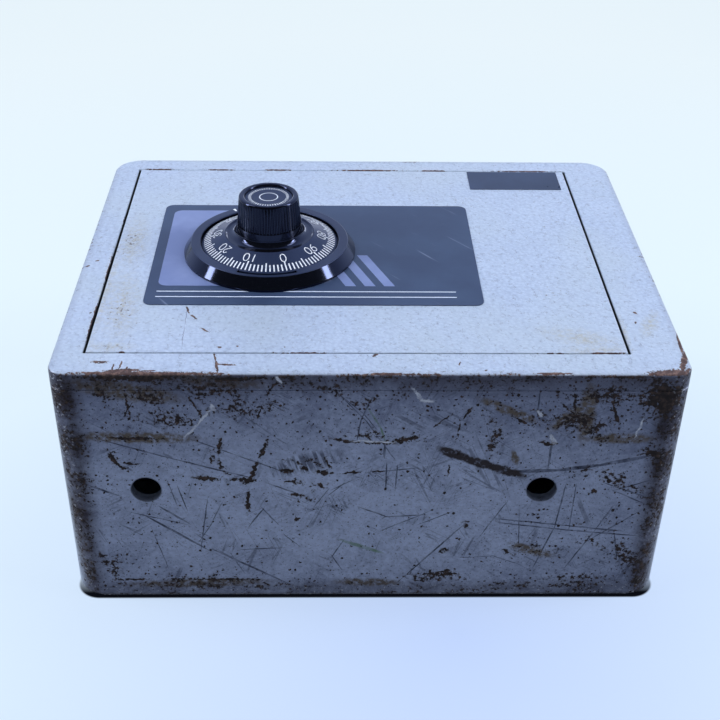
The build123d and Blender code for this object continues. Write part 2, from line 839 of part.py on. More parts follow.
def lever_screw():
    x, z = dial_x + lever_pivot_x, dial_z + lever_pivot_z
    seat = cam_front - axial_gap
    head = rod_y(lever_screw_head_radius, seat - lever_screw_head, seat, x, z)
    head -= screw_slot(x, z, seat, lever_screw_head)
    return head + rod_y(lever_screw_radius, seat - 0.1, bolt_front + lever_screw_bite, x, z)


def lever_spring():
    """Torsion coil in the pocket round the lever's screw."""
    path = Helix(spring_pitch, spring_pitch * spring_turns, spring_radius)
    section = Plane(origin=path @ 0, z_dir=path % 0) * Circle(spring_wire_radius)
    coil = sweep(section, path=path, is_frenet=True)
    x, z = dial_x + lever_pivot_x, dial_z + lever_pivot_z
    return Pos(x, bolt_front + spring_pocket_depth - spring_wire_radius - 0.05, z) * Rot(90, 0, 0) * coil


def case_screw(x, z):
    tip = door_back - case_screw_bite + screw_end_gap
    return screw_y(x, z, cover_back, tip, case_screw_radius, case_screw_head_radius, case_screw_head, 3.0)


def cover_screw(x, z):
    tip = cover_back - cover_screw_length
    return screw_y(x, z, cover_back, tip, cover_screw_radius, cover_screw_head_radius, cover_screw_head, 1.5)


def saddle_screw(x, z):
    tip = door_back - saddle_screw_bite + screw_end_gap
    head = (saddle_screw_head_radius, saddle_screw_head, 2.2)
    return screw_y(x, z, saddle_top, tip, saddle_screw_radius, *head)


def main():
    os.makedirs("parts", exist_ok=True)
    save("body_wrap", body_wrap())
    save("back_plate", back_plate())
    save("front_frame", front_frame())
    save("door_stop_upper", door_stop(opening_top, 1))
    save("door_stop_lower", door_stop(opening_bottom, -1))
    save("hinge_pin_upper", hinge_pin(True))
    save("hinge_pin_lower", hinge_pin(False))
    save("hinge_washer", hinge_washer())
    save("hinge_bushes", *[hinge_bush(z0, z1) for z0, z1 in bush_spans()])
    save("door_plate", door_plate())
    save("dog_bar", dog_bar())
    save("label_plate", label_plate())
    save("service_sticker", service_sticker())
    save("dial_ring", dial_ring())
    save("ring_screws", *[ring_screw(x, z) for x, z in ring_screw_places()])
    save("spindle_tube", spindle_tube())
    save("dial_disc", dial_disc())
    save("knob", knob())
    save("knob_cap", knob_cap())
    save("knob_screw", knob_screw())
    save("spindle", spindle())
    save("drive_cam", drive_cam())
    save("spline_key", spline_key())
    for index in range(wheel_count):
        save(f"wheel_{index + 1}", wheel(index))
        save(f"wheel_fly_{index + 1}", fly(index))
    save("wheel_spacers", *[wheel_spacer(index) for index in range(wheel_count - 1)])
    save("post_clip", post_clip())
    save("wheel_post", wheel_post())
    save("lock_case", lock_case())
    save("lock_cover", lock_cover())
    save("case_screws", *[case_screw(x, z) for x, z in case_screw_places()])
    save("cover_screws", *[cover_screw(x, z) for x, z in cover_screw_places()])
    save("lock_bolt", lock_bolt())
    save("bolt_bar", bolt_bar())
    save("bar_screws", *[bar_screw(z) for z in bar_screw_heights()])
    save("locking_bolts", *[locking_bolt(z) for z in locking_heights()])
    save("bolt_nuts", *[bolt_nut(z) for z in locking_heights()])
    save("bolt_saddles", *[bolt_saddle(z) for z in locking_heights()])
    save("saddle_screws", *[saddle_screw(x, z) for x, z in saddle_screw_places()])
    save("lever", lever())
    save("fence_bar", fence_bar())
    save("lever_screw", lever_screw())
    save("lever_spring", lever_spring())


main()
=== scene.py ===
import json
from math import atan2, hypot, pi, radians, tan

import bpy
from mathutils import Matrix, Vector


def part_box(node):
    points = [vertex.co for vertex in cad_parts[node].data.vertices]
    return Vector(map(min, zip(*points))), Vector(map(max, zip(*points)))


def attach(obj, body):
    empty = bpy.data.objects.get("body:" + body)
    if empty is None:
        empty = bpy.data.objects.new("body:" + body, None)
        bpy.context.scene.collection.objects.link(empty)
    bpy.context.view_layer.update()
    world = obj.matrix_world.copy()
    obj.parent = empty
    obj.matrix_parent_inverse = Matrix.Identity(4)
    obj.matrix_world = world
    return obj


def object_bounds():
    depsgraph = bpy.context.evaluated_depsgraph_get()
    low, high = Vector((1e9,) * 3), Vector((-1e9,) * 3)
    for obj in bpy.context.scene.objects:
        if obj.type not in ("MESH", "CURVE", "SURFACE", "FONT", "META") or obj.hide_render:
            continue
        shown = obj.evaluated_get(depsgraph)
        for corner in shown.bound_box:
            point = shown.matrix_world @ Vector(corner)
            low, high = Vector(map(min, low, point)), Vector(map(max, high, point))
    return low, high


# A steel home safe. The frame stands upright: the door faces -Y, +Z is up, metres throughout.
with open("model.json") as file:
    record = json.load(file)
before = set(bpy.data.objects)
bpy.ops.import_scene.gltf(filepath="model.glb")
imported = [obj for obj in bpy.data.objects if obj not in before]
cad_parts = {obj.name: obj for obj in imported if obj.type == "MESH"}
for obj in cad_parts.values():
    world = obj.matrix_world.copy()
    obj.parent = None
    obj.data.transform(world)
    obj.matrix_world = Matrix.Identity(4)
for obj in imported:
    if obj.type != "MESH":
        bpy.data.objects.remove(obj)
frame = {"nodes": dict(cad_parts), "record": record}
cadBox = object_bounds()
print("frame loaded")

mm = 0.001

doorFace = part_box("door_plate")[0][1]
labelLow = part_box("label_plate")[0]
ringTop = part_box("dial_ring")[0][1]
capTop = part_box("knob_cap")[0][1]
discLow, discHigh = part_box("dial_disc")
dialX = (discLow[0] + discHigh[0]) / 2
dialZ = (discLow[2] + discHigh[2]) / 2


# Small helpers for the modelling

def clearSelection():
    bpy.ops.object.select_all(action="DESELECT")


def pick(piece, what, wanted):
    bpy.ops.object.mode_set(mode="EDIT")
    bpy.ops.mesh.select_mode(type=what)
    bpy.ops.mesh.select_all(action="DESELECT")
    bpy.ops.object.mode_set(mode="OBJECT")
    mesh = piece.data
    for item in {"VERT": mesh.vertices, "EDGE": mesh.edges, "FACE": mesh.polygons}[what]:
        item.select = wanted(item)
    bpy.ops.object.mode_set(mode="EDIT")


def settle(piece):
    clearSelection()
    piece.select_set(True)
    bpy.context.view_layer.objects.active = piece
    bpy.ops.object.transform_apply(location=True, rotation=True, scale=True)


def joined(parts, name):
    clearSelection()
    for part in parts:
        part.select_set(True)
    bpy.context.view_layer.objects.active = parts[0]
    if len(parts) > 1:
        bpy.ops.object.join()
    piece = bpy.context.object
    piece.name = name
    piece.data.name = name
    return piece


def finishPiece(piece, body, material):
    settle(piece)
    piece.data.materials.clear()
    piece.data.materials.append(material)
    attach(piece, body)


# Small helpers for the materials

def hexToLinear(code):
    levels = [int(code[i:i + 2], 16) / 255 for i in (1, 3, 5)]
    return [v / 12.92 if v < 0.04045 else ((v + 0.055) / 1.055) ** 2.4 for v in levels] + [1.0]


def feed(tree, node, inputs):
    for socket, value in inputs.items():
        if isinstance(value, bpy.types.NodeSocket):
            tree.links.new(value, node.inputs[socket])
        elif isinstance(value, str):
            node.inputs[socket].default_value = hexToLinear(value)
        else:
            node.inputs[socket].default_value = value


def addNode(tree, kind, inputs=None, out=0, **settings):
    node = tree.nodes.new("ShaderNode" + kind)
    if kind == "Mix" and not settings:
        settings, out = {"data_type": "RGBA"}, 2   # colours, unless the settings say otherwise
    for name, value in settings.items():
        setattr(node, name, value)
    feed(tree, node, inputs or {})
    return node.outputs[out]


def newMaterial(name, sockets=None):
    material = bpy.data.materials.new(name)
    material.use_nodes = True
    tree = material.node_tree
    shader = tree.nodes["Principled BSDF"]
    feed(tree, shader, sockets or {})
    return material, tree, shader


def sizeOf(millimetres):
    return 1 / (millimetres * mm)   # a texture's scale for a grain of that size


def wobbled(tree, place, reach, grain):
    shift = addNode(tree, "TexNoise", {"Vector": place, "Scale": sizeOf(grain), "Detail": 2.0}, out=1)
    centred = addNode(tree, "VectorMath", {0: shift, 1: (0.5, 0.5, 0.5)}, operation="SUBTRACT")
    scaled = addNode(tree, "VectorMath", {0: centred, "Scale": 2 * reach * mm}, operation="SCALE")
    return addNode(tree, "VectorMath", {0: place, 1: scaled}, operation="ADD")


def patches(tree, place, grain, detail, low, high, least=0.0, most=1.0, roughness=0.5):
    # a noise with a grain in mm, stretched so that what lies between low and high runs from least to most
    noise = addNode(tree, "TexNoise", {"Vector": place, "Scale": sizeOf(grain), "Detail": detail,
                                       "Roughness": roughness})
    return addNode(tree, "MapRange", {"Value": noise, "From Min": low, "From Max": high, "To Min": least,
                                      "To Max": most})


def thinLines(tree, noise, edge, core, most=1.0):
    # the lines where a noise passes its middle value
    noise = addNode(tree, "Math", {0: noise, 1: 0.5}, operation="SUBTRACT")
    noise = addNode(tree, "Math", {0: noise}, operation="ABSOLUTE")
    return addNode(tree, "MapRange", {"Value": noise, "From Min": edge, "From Max": core, "To Max": most})


def ramped(tree, total, ramps, operation, clamp=False):
    # each ramp is a coordinate, where it starts and ends in mm, and how far it rises
    for along, start, end, most in ramps:
        part = addNode(tree, "MapRange", {"Value": along, "From Min": start * mm, "From Max": end * mm, "To Max": most})
        total = addNode(tree, "Math", {0: total, 1: part}, operation=operation, use_clamp=clamp)
    return total


def distance(tree, place, centre, keep):
    # keep is 1 for each coordinate that counts
    off = addNode(tree, "VectorMath", {0: place, 1: centre}, operation="SUBTRACT")
    off = addNode(tree, "VectorMath", {0: off, 1: keep}, operation="MULTIPLY")
    return addNode(tree, "VectorMath", {0: off}, out=1, operation="LENGTH")


def strokeMask(tree, place, strokes, face, widen=1.0):
    # each stroke is a list of points in mm on the base (x, y) or the front (x, z), then its half width
    total = None
    for points, half in strokes:
        half = half * widen
        ends = list(zip(points, points[1:])) or [(points[0], points[0])]
        for (x0, y0), (x1, y1) in ends:
            length = hypot(x1 - x0, y1 - y0) / 2 * 1.25 + half
            turn = atan2(y1 - y0, x1 - x0)
            x, y = (x0 + x1) / 2 * mm, (y0 + y1) / 2 * mm
            if face == "base":
                centre, angle = (x, y, 0), (0, 0, turn)
                size = (length * mm, half * mm, 4 * mm)
            else:
                centre, angle = (x, doorFace, y), (0, -turn, 0)
                size = (length * mm, 4 * mm, half * mm)
            local = addNode(tree, "Mapping", {"Vector": place, "Location": centre, "Rotation": angle, "Scale": size},
                            vector_type="TEXTURE")
            spot = addNode(tree, "TexGradient", {"Vector": local}, out=1, gradient_type="SPHERICAL")
            if total is None:
                total = spot
            else:
                total = addNode(tree, "Math", {0: total, 1: spot}, operation="MAXIMUM")
    return total


# Hammer-finish stoving enamel on sheet steel: pale blue silver with a fine orange peel, darker creases between the
# dimples whose dark is partly painted shade, and a satin skin from the silicone that makes the pattern

hammer = {
    "light": "#C3D1E5",
    "vein": "#AEBDD4",
    "grey": "#BCC9D2",
    # the creases' dark tone: the paint's own veins and painted shade in them
    "crease": "#5F6983",
    "dimple": 2.2,        # mm across
    "relief": 0.34,       # mm
    "roughness": 0.40,
    "metallic": 0.15,
    "grimeAndShade": "#17181C",   # painted shade in the door's gap
    "edge": "#7F8596",    # handled and soiled along the cabinet's edges
}

rust = {
    "dark": "#2B2629",    # old scale
    "brown": "#55453F",
    "freshDark": "#4D3B3B",
    "freshBrown": "#8A6F66",
    "halo": "#A89C8C",    # run-off round a pit, multiplied with the paint
    "grain": 2.3,         # mm
}


def hammerPaint(tree, place):
    loose = wobbled(tree, place, 0.8, 2.0)
    cells = addNode(tree, "TexVoronoi", {"Vector": loose, "Scale": sizeOf(hammer["dimple"]), "Smoothness": 0.5},
                    feature="SMOOTH_F1")
    grain = addNode(tree, "TexNoise", {"Vector": place, "Scale": sizeOf(1.2), "Detail": 3.0, "Roughness": 0.65})
    veins = addNode(tree, "MapRange", {"Value": cells, "From Min": 0.20, "From Max": 0.75, "To Max": 0.75})
    cloud = patches(tree, place, 42, 4.0, 0.38, 0.70, most=0.25, roughness=0.6)
    amount = addNode(tree, "Math", {0: veins, 1: cloud}, operation="ADD", use_clamp=True)
    paint = addNode(tree, "Mix", {0: amount, 6: hammer["light"], 7: hammer["vein"]})
    tint = patches(tree, place, 75, 2.0, 0.45, 0.65, most=0.4)
    paint = addNode(tree, "Mix", {0: tint, 6: paint, 7: hammer["grey"]})

    # creases: short dark worms where the pattern drew apart; their dark colour is partly painted shade in the creases
    crease = addNode(tree, "TexNoise", {"Vector": loose, "Scale": sizeOf(2.6), "Detail": 2.0, "Roughness": 0.6})
    crease = thinLines(tree, crease, 0.035, 0.006)
    gather = patches(tree, place, 4, 3.0, 0.49, 0.60, roughness=0.6)
    crease = addNode(tree, "Math", {0: crease, 1: gather}, operation="MULTIPLY")
    dark = addNode(tree, "Math", {0: crease, 1: 0.55}, operation="MULTIPLY")
    paint = addNode(tree, "Mix", {0: dark, 6: paint, 7: hammer["crease"]})
    height = addNode(tree, "Math", {0: cells, 1: -0.8, 2: 1.0}, operation="MULTIPLY_ADD")
    height = addNode(tree, "Math", {0: grain, 1: 0.7, 2: height}, operation="MULTIPLY_ADD")
    height = addNode(tree, "Math", {0: crease, 1: -0.4, 2: height}, operation="MULTIPLY_ADD")
    return paint, height


def rustLayer(tree, place, paint, height, density, fresh):
    # density 0..1 says how much of the paint has gone; a fine noise decides where
    fine = addNode(tree, "TexNoise", {"Vector": place, "Scale": sizeOf(rust["grain"]), "Detail": 4.0,
                                      "Roughness": 0.65})
    limit = addNode(tree, "Math", {0: density, 1: -0.62, 2: 0.80}, operation="MULTIPLY_ADD")
    above = addNode(tree, "Math", {0: fine, 1: limit}, operation="SUBTRACT")
    mask = addNode(tree, "MapRange", {"Value": above, "From Min": 0.0, "From Max": 0.025})
    halo = addNode(tree, "MapRange", {"Value": above, "From Min": -0.07, "From Max": 0.01, "To Max": 0.6})
    tone = patches(tree, place, 2.8, 3.0, 0.46, 0.72, roughness=0.7)
    scale = addNode(tree, "Mix", {0: tone, 6: rust["dark"], 7: rust["brown"]})
    redder = addNode(tree, "Mix", {0: tone, 6: rust["freshDark"], 7: rust["freshBrown"]})
    scale = addNode(tree, "Mix", {0: fresh, 6: scale, 7: redder})
    stained = addNode(tree, "Mix", {0: halo, 6: paint, 7: rust["halo"]}, out=2,
                      data_type="RGBA", blend_type="MULTIPLY")
    colour = addNode(tree, "Mix", {0: mask, 6: stained, 7: scale})
    pitted = addNode(tree, "Math", {0: fine, 1: 1.6}, operation="MULTIPLY")
    lower = addNode(tree, "Mix", {0: mask, 2: height, 3: pitted}, data_type="FLOAT")
    return colour, lower, mask


frontWear = {
    "scar": [   # x and z in mm
        ([(-147, 249.4), (-123, 249.4)], 0.9), ([(-108, 249.3), (-83, 249.3)], 0.8),
        ([(-66, 249.4), (-47, 249.4)], 1.0), ([(-26, 249.4), (30, 249.4)], 1.0),
        ([(36, 249.3), (56, 249.3)], 0.8), ([(84, 249.3), (134, 249.3)], 0.55),
        ([(-100.5, 68.5), (-98, 60), (-92.5, 53)], 0.75),
        ([(-81.5, 20), (-79.8, 12.5), (-78.2, 3)], 0.8), ([(-79, 9.4), (-69, 8.6)], 0.9),
        ([(-5, 0.5), (18, 0.8)], 1.2), ([(84, 1.2), (101, 1.5)], 1.0),
        ([(-79.5, 26), (-78, 25.5)], 0.9), ([(1.5, 17), (3, 19.5)], 1.1), ([(-130, 20.8), (-127, 20.6)], 0.9),
        ([(146, 62.5), (146.8, 61.5)], 1.0), ([(143.5, 50), (145, 53)], 0.7), ([(-162.5, 113), (-161, 114)], 1.0),
        ([(-158, 120), (-156.5, 120.5)], 0.8), ([(-151.5, 60), (-151, 61)], 0.7),
        ([(30, 264.4), (38, 264.4)], 1.3), ([(162.8, 20), (164.4, 40)], 0.9),
        ([(-55, 20.6), (-16, 20.6)], 0.6), ([(84, 20.4), (108, 20.4)], 0.7), ([(112, 21), (133, 21)], 0.6),
        ([(-149.3, 128), (-149.3, 92)], 0.5), ([(-149.3, 76), (-149.3, 28)], 0.55),
        ([(-149.2, 190), (-149.2, 160)], 0.3),
        ([(-158, -0.4), (-79, -0.4)], 2.8), ([(-154, 1.6), (-96, 1.4)], 0.9), ([(150, 0.5), (164, 2)], 2.2),
        ([(-141, 10), (-139.6, 12.4)], 0.8), ([(-132, 3), (-131.4, 10)], 0.5), ([(-128.5, 3), (-127.6, 12)], 0.5),
        ([(-125, 3), (-124.4, 7)], 0.5), ([(-137, 11), (-135.6, 12)], 0.7), ([(-119, 3), (-108, 3.4)], 0.6),
        ([(-90, 45), (-86, 41)], 0.6), ([(-70, 27), (-69.4, 26.6)], 0.8), ([(-45, 26), (-44.6, 25.8)], 0.7),
        ([(45, 9), (45.6, 12)], 0.5), ([(58, 4), (58.5, 4.4)], 0.7),
    ],
    "cluster": [
        ([(-156, -0.6), (-79, -0.6)], 4.0), ([(142, -1), (164, 3)], 6.0), ([(-20, -0.6), (40, -0.6)], 2.2),
        ([(-143, 11.5), (-134, 11)], 2.4), ([(-136, 3), (-118, 4)], 2.4), ([(158, 2), (164, 20)], 2.6),
    ],
    "stain": [
        ([(-140, 170), (-138, 118)], 11.0), ([(-138, 100), (-134, 40)], 13.0), ([(-145, 25), (-128, 26)], 7.0),
        ([(104, 24), (132, 24)], 5.0), ([(-147, 150), (-147, 24)], 5.0), ([(136.5, 60), (136.5, 22)], 2.5),
        ([(100, 40), (126, 30)], 12.0), ([(148, 40), (156, 60)], 6.0),
    ],
    "crack": [([(-99.6, 66), (-99.2, 48), (-98.6, 24)], 0.28), ([(-45, 67), (-45.5, 62)], 0.3)],
    "stainTone": "#B3B2A8",
    "crackTone": "#7C86A0",
}


def wearOnFront(tree, place, paint, density):
    ragged = wobbled(tree, place, 0.7, 3.0)
    blotch = patches(tree, place, 2.2, 4.0, 0.42, 0.64, least=0.15, roughness=0.7)
    soiled = strokeMask(tree, ragged, frontWear["stain"], "front")
    stain = addNode(tree, "Math", {0: soiled, 1: blotch}, operation="MULTIPLY")
    paint = addNode(tree, "Mix", {0: stain, 6: paint, 7: frontWear["stainTone"]})
    density = addNode(tree, "Math", {0: soiled, 1: 0.22, 2: density}, operation="MULTIPLY_ADD")
    crack = addNode(tree, "MapRange", {"Value": strokeMask(tree, ragged, frontWear["crack"], "front"),
                                       "From Min": 0.1, "From Max": 0.6})
    paint = addNode(tree, "Mix", {0: crack, 6: paint, 7: frontWear["crackTone"]})
    scar = addNode(tree, "MapRange", {"Value": strokeMask(tree, ragged, frontWear["scar"], "front", 1.3),
                                      "From Max": 0.8, "To Max": 0.85})
    cluster = addNode(tree, "MapRange", {"Value": strokeMask(tree, ragged, frontWear["cluster"], "front"),
                                         "From Max": 0.6, "To Max": 0.62})
    marks = addNode(tree, "Math", {0: scar, 1: cluster}, operation="MAXIMUM")
    return paint, addNode(tree, "Math", {0: marks, 1: density}, operation="ADD")


baseWear = {
    "scar": [   # x and y in mm on the base
        ([(-53.8, -34.8), (-58.8, -22.3), (-65, -6), (-65.8, 16.5)], 1.2),
        ([(-95, -10.5), (-77.5, -9), (-60, -8.5)], 1.5), ([(-68, -8), (-64, -8)], 3.0),
        ([(-18.8, -35.5), (-5, -33.5), (11.3, -33), (27.5, -38)], 1.3),
        ([(-47.5, -73.5), (-55, -61), (-60, -44.8)], 1.0), ([(52.5, -57.3), (47, -47.3), (45, -34.8)], 0.6),
        ([(43, -52.3), (31.3, -42.3)], 0.6), ([(-121.3, -61), (-128.8, -47.3)], 0.6),
        ([(42.5, -21), (41.5, -9.8)], 0.9), ([(-20, -12.3), (0, -14.3), (7.5, -14.5)], 0.7),
        ([(121, -1), (121.6, -0.6)], 1.7), ([(128.6, -8), (129.4, -7.6)], 1.8), ([(136, -10), (136.6, -9.6)], 1.0),
        ([(-39, 18.5), (-38.4, 18.5)], 1.2), ([(50, 33), (50.4, 33.4)], 1.2), ([(124, 33), (125, 35)], 1.8),
        ([(-137, -27), (-134, -20)], 3.0), ([(-134, -20), (-122, -19)], 0.8), ([(-134, -19), (-129, -15)], 0.8),
        ([(146, -27), (157, -24)], 3.5), ([(140, -60), (163, -66)], 9.0), ([(150, -62), (153, -52)], 5.0),
        ([(100, -75), (150, -74.5)], 1.2), ([(-96, -72), (-40, -74.5)], 1.6), ([(-158, -74), (-86, -74.4)], 2.8),
        ([(146, -72), (160, -58)], 6.0), ([(-47, -14.5), (-40, -15)], 1.5), ([(-38, -18), (-33, -15)], 1.6),
        ([(-30, -14), (-20, -13)], 1.8), ([(-24, -24), (-21, -16)], 1.2), ([(-47, -8), (-38, -7)], 1.0),
        ([(-27, -5), (-24, -3)], 1.2), ([(-42, 1), (-36, 2.5)], 1.4), ([(-146, 62.5), (-120, 62), (-52, 62.5)], 0.9),
        ([(-144, -36.5), (-104, -35.5)], 1.0), ([(-126, -70), (-124, -44)], 0.7), ([(-96, -66), (-84, -44)], 0.7),
        ([(-78, -36), (-80, -26)], 1.2), ([(-84, -24), (-84, -18)], 0.9), ([(104, -70), (106, -48)], 0.8),
        ([(96, -60), (112, -46)], 0.8), ([(124, -60), (130, -44)], 1.0), ([(118, -68), (126, -66)], 1.0),
        ([(74, -50), (84, -44)], 0.9), ([(88, -34), (98, -32)], 1.4),
    ],
    "cluster": [
        ([(-44, -20), (-24, -18)], 8.0), ([(-48, -6), (-24, -5)], 4.0), ([(-40, 2), (-30, 4)], 3.0),
        ([(51.5, 22), (54.5, 22)], 4.0), ([(39, 40), (43.5, 40.6)], 5.0), ([(-35, -72), (-12, -64)], 6.0),
        ([(-110, -68), (-60, -66)], 12.0), ([(-145, -66), (-96, -60)], 10.0), ([(-130, -50), (-90, -48)], 9.0),
        ([(86, -52), (132, -40)], 14.0), ([(100, -64), (140, -60)], 9.0), ([(-20, -58), (22, -60)], 5.0),
        ([(125, -74), (150, -52)], 14.0), ([(-40, -58), (-90, -52)], 9.0), ([(60, -60), (66, -20)], 6.0),
        ([(78, 40), (105, 44)], 8.0), ([(-120, 62), (-60, 66)], 5.0), ([(95, 62), (140, 60)], 7.0),
        ([(-152, 40), (-136, 66)], 9.0), ([(136, 30), (150, 60)], 9.0), ([(-85, -30), (-75, -10)], 6.0),
        ([(20, 62), (60, 60)], 7.0), ([(-150, 66), (-20, 70)], 4.0), ([(68, 66), (150, 67)], 5.0),
        ([(110, -20), (150, 0)], 8.0), ([(118, 30), (130, 40)], 7.0), ([(-20, -38), (30, -36)], 6.0),
    ],
    "stain": [
        ([(-150, -37), (-94, -36)], 4.0), ([(117, -36), (146, -36)], 3.4), ([(76, -26), (77.5, -21)], 2.2),
        ([(-15, 64.5), (15, 65)], 3.0), ([(82, 38), (100, 44)], 3.5), ([(-104, -62), (-150, -70)], 6.0),
        ([(112, -66), (112, -38)], 5.0), ([(-130, 66), (-60, 64)], 3.0), ([(58, -60), (84, -48)], 3.0),
        ([(96, -44), (112, -58)], 4.0), ([(-60, -70), (-100, -74)], 4.0),
    ],
    "scrape": [([(-46, -16), (-21, -24)], 7.5)],
    "gouge": [([(38.8, -28.5), (52.5, -22.3), (65, -17.3), (79.5, -12.3)], 3.4)],
    "scratch": [
        ([(-17.5, -64.8), (-2.5, -47.3), (7.5, -31), (13, -22.3)], 0.5), ([(0, -61), (-5, -48.5), (-7, -36)], 0.6),
        ([(-19, -66), (-4, -52), (3, -42)], 0.4),
        ([(-140, -34.8), (-105, -23), (-65, -10.5)], 0.65), ([(-92.5, -34.8), (-70, -24.8), (-47.5, -14.8)], 0.5),
        ([(79.5, -14.3), (100, -15), (122.5, -18.5), (146, -24)], 1.7),
        ([(71.3, 18.5), (105, 22.8), (137.5, 27)], 0.75), ([(73.8, 21.5), (110, 26.5), (147, 30.5)], 0.7),
        ([(105.5, -3.5), (102.5, 24), (93.8, 51.5)], 0.6), ([(111.3, -3.5), (110.5, 24)], 0.5),
        ([(132.5, 10.3), (126.3, 24), (112, 52)], 0.6), ([(136.3, 30.3), (139.5, 46.5)], 0.6),
        ([(-120, 17), (-90, 39.5)], 1.0), ([(-112.5, 10.3), (-98.8, 21)], 0.9), ([(-83.8, 41.5), (-47.5, 64)], 0.9),
        ([(-87.5, 6.5), (-92.5, 39)], 0.5), ([(-20, 45.3), (-13.8, 34)], 0.5), ([(-20, 45.3), (-15, 54.5)], 0.5),
        ([(-70, 40.5), (-47.5, 39)], 0.5), ([(-5, 10.3), (10, 17), (30, 15.5)], 0.6), ([(31.3, 14), (7.5, 26.5)], 0.5),
        ([(7.5, -14.5), (25, -16.5)], 0.5), ([(8.8, -18.5), (8.8, -3.5)], 0.6), ([(14.5, -17.3), (14, -3.5)], 0.6),
        ([(95.5, -36), (95, -17.3)], 0.9), ([(86.3, -66), (86.3, -51)], 0.6), ([(51, 24), (18.8, 62.8)], 0.7),
        ([(85, 51.5), (70, 45.3), (52.5, 46.5)], 0.4), ([(-65, 22.8), (-57.5, 11.5), (-50, 21.5)], 0.6),
        ([(-150, -4.8), (-135, 2)], 0.9), ([(-102.5, -3.5), (-98.8, 11.5)], 0.5), ([(127.5, -6), (149, 2.8)], 0.6),
        ([(132.5, -1), (150, 8)], 0.6), ([(-76, 44), (-70, 56)], 0.4), ([(-30, 10), (-22, -2)], 0.4),
        ([(-118, 28), (-112, 52)], 0.4), ([(62, 30), (74, 8)], 0.5), ([(7.5, -31), (7.5, -24)], 0.9),
        ([(-20, -2), (-10, -8)], 0.4), ([(-22, 2), (-14, -6)], 0.4), ([(28, 22), (44, 14)], 0.4),
        ([(-54, -6), (-36, 2)], 0.6), ([(-108, -8), (-104, 8)], 0.4), ([(-128, 14), (-100, 22)], 0.5),
        ([(150, -8), (134, -2)], 0.5), ([(147, 14), (122, 34)], 0.5), ([(82, 14), (84, 42)], 0.4),
        ([(-86, 22), (-93, 34)], 0.4), ([(-80, 8), (-86, 22)], 0.4), ([(-46, 30), (-38, 38)], 0.4),
    ],
    "bare": [   # bright chips down to the filler
        ([(-81.3, -56), (-90, -44.8), (-97, -36.5)], 0.8), ([(-82, -56.5), (-81, -55)], 1.5),
        ([(21.5, -67), (26.5, -59.8)], 1.2), ([(26.5, -60), (31.5, -59.6)], 1.0), ([(95, -37), (97, -33)], 1.6),
        ([(86.5, -53), (88.5, -51)], 1.2), ([(-10, -34.5), (12, -33.5)], 0.7), ([(142, -49), (139, -37)], 0.8),
        ([(-48, -74), (-46, -71)], 0.9),
    ],
    "green": [([(-14, 34), (6.5, 42.3)], 1.5), ([(-1.3, -54.8), (5, -43.5), (7.5, -34.8)], 0.7)],
    "paint": "#B9C8E8",
    # the darker tone that the base takes towards the front edge and the hinge side
    "worn": "#828EAD",
    "line": "#3E465C",
    "chip": "#D5DEEE",
    "speck": "#555D74",
    "greenTone": "#6F8F78",
    "gougeTone": "#3A3437",
    "stainTone": "#6A6257",
    "edgeTone": "#3B3641",
    # painted contact shadow along the back edge, and the holes' bare edges
    "backShadowAndHoles": "#15161B",
    "hairlines": [(0.55, 0.5), (1.15, 0.45), (1.95, 0.45), (2.65, 0.4)],   # direction in radians, strength
    "pitPitch": 2.9,    # mm
    "holes": [(-119.6, -2.0), (92.8, -2.0)],   # centres in mm, for the bare edge inside
}


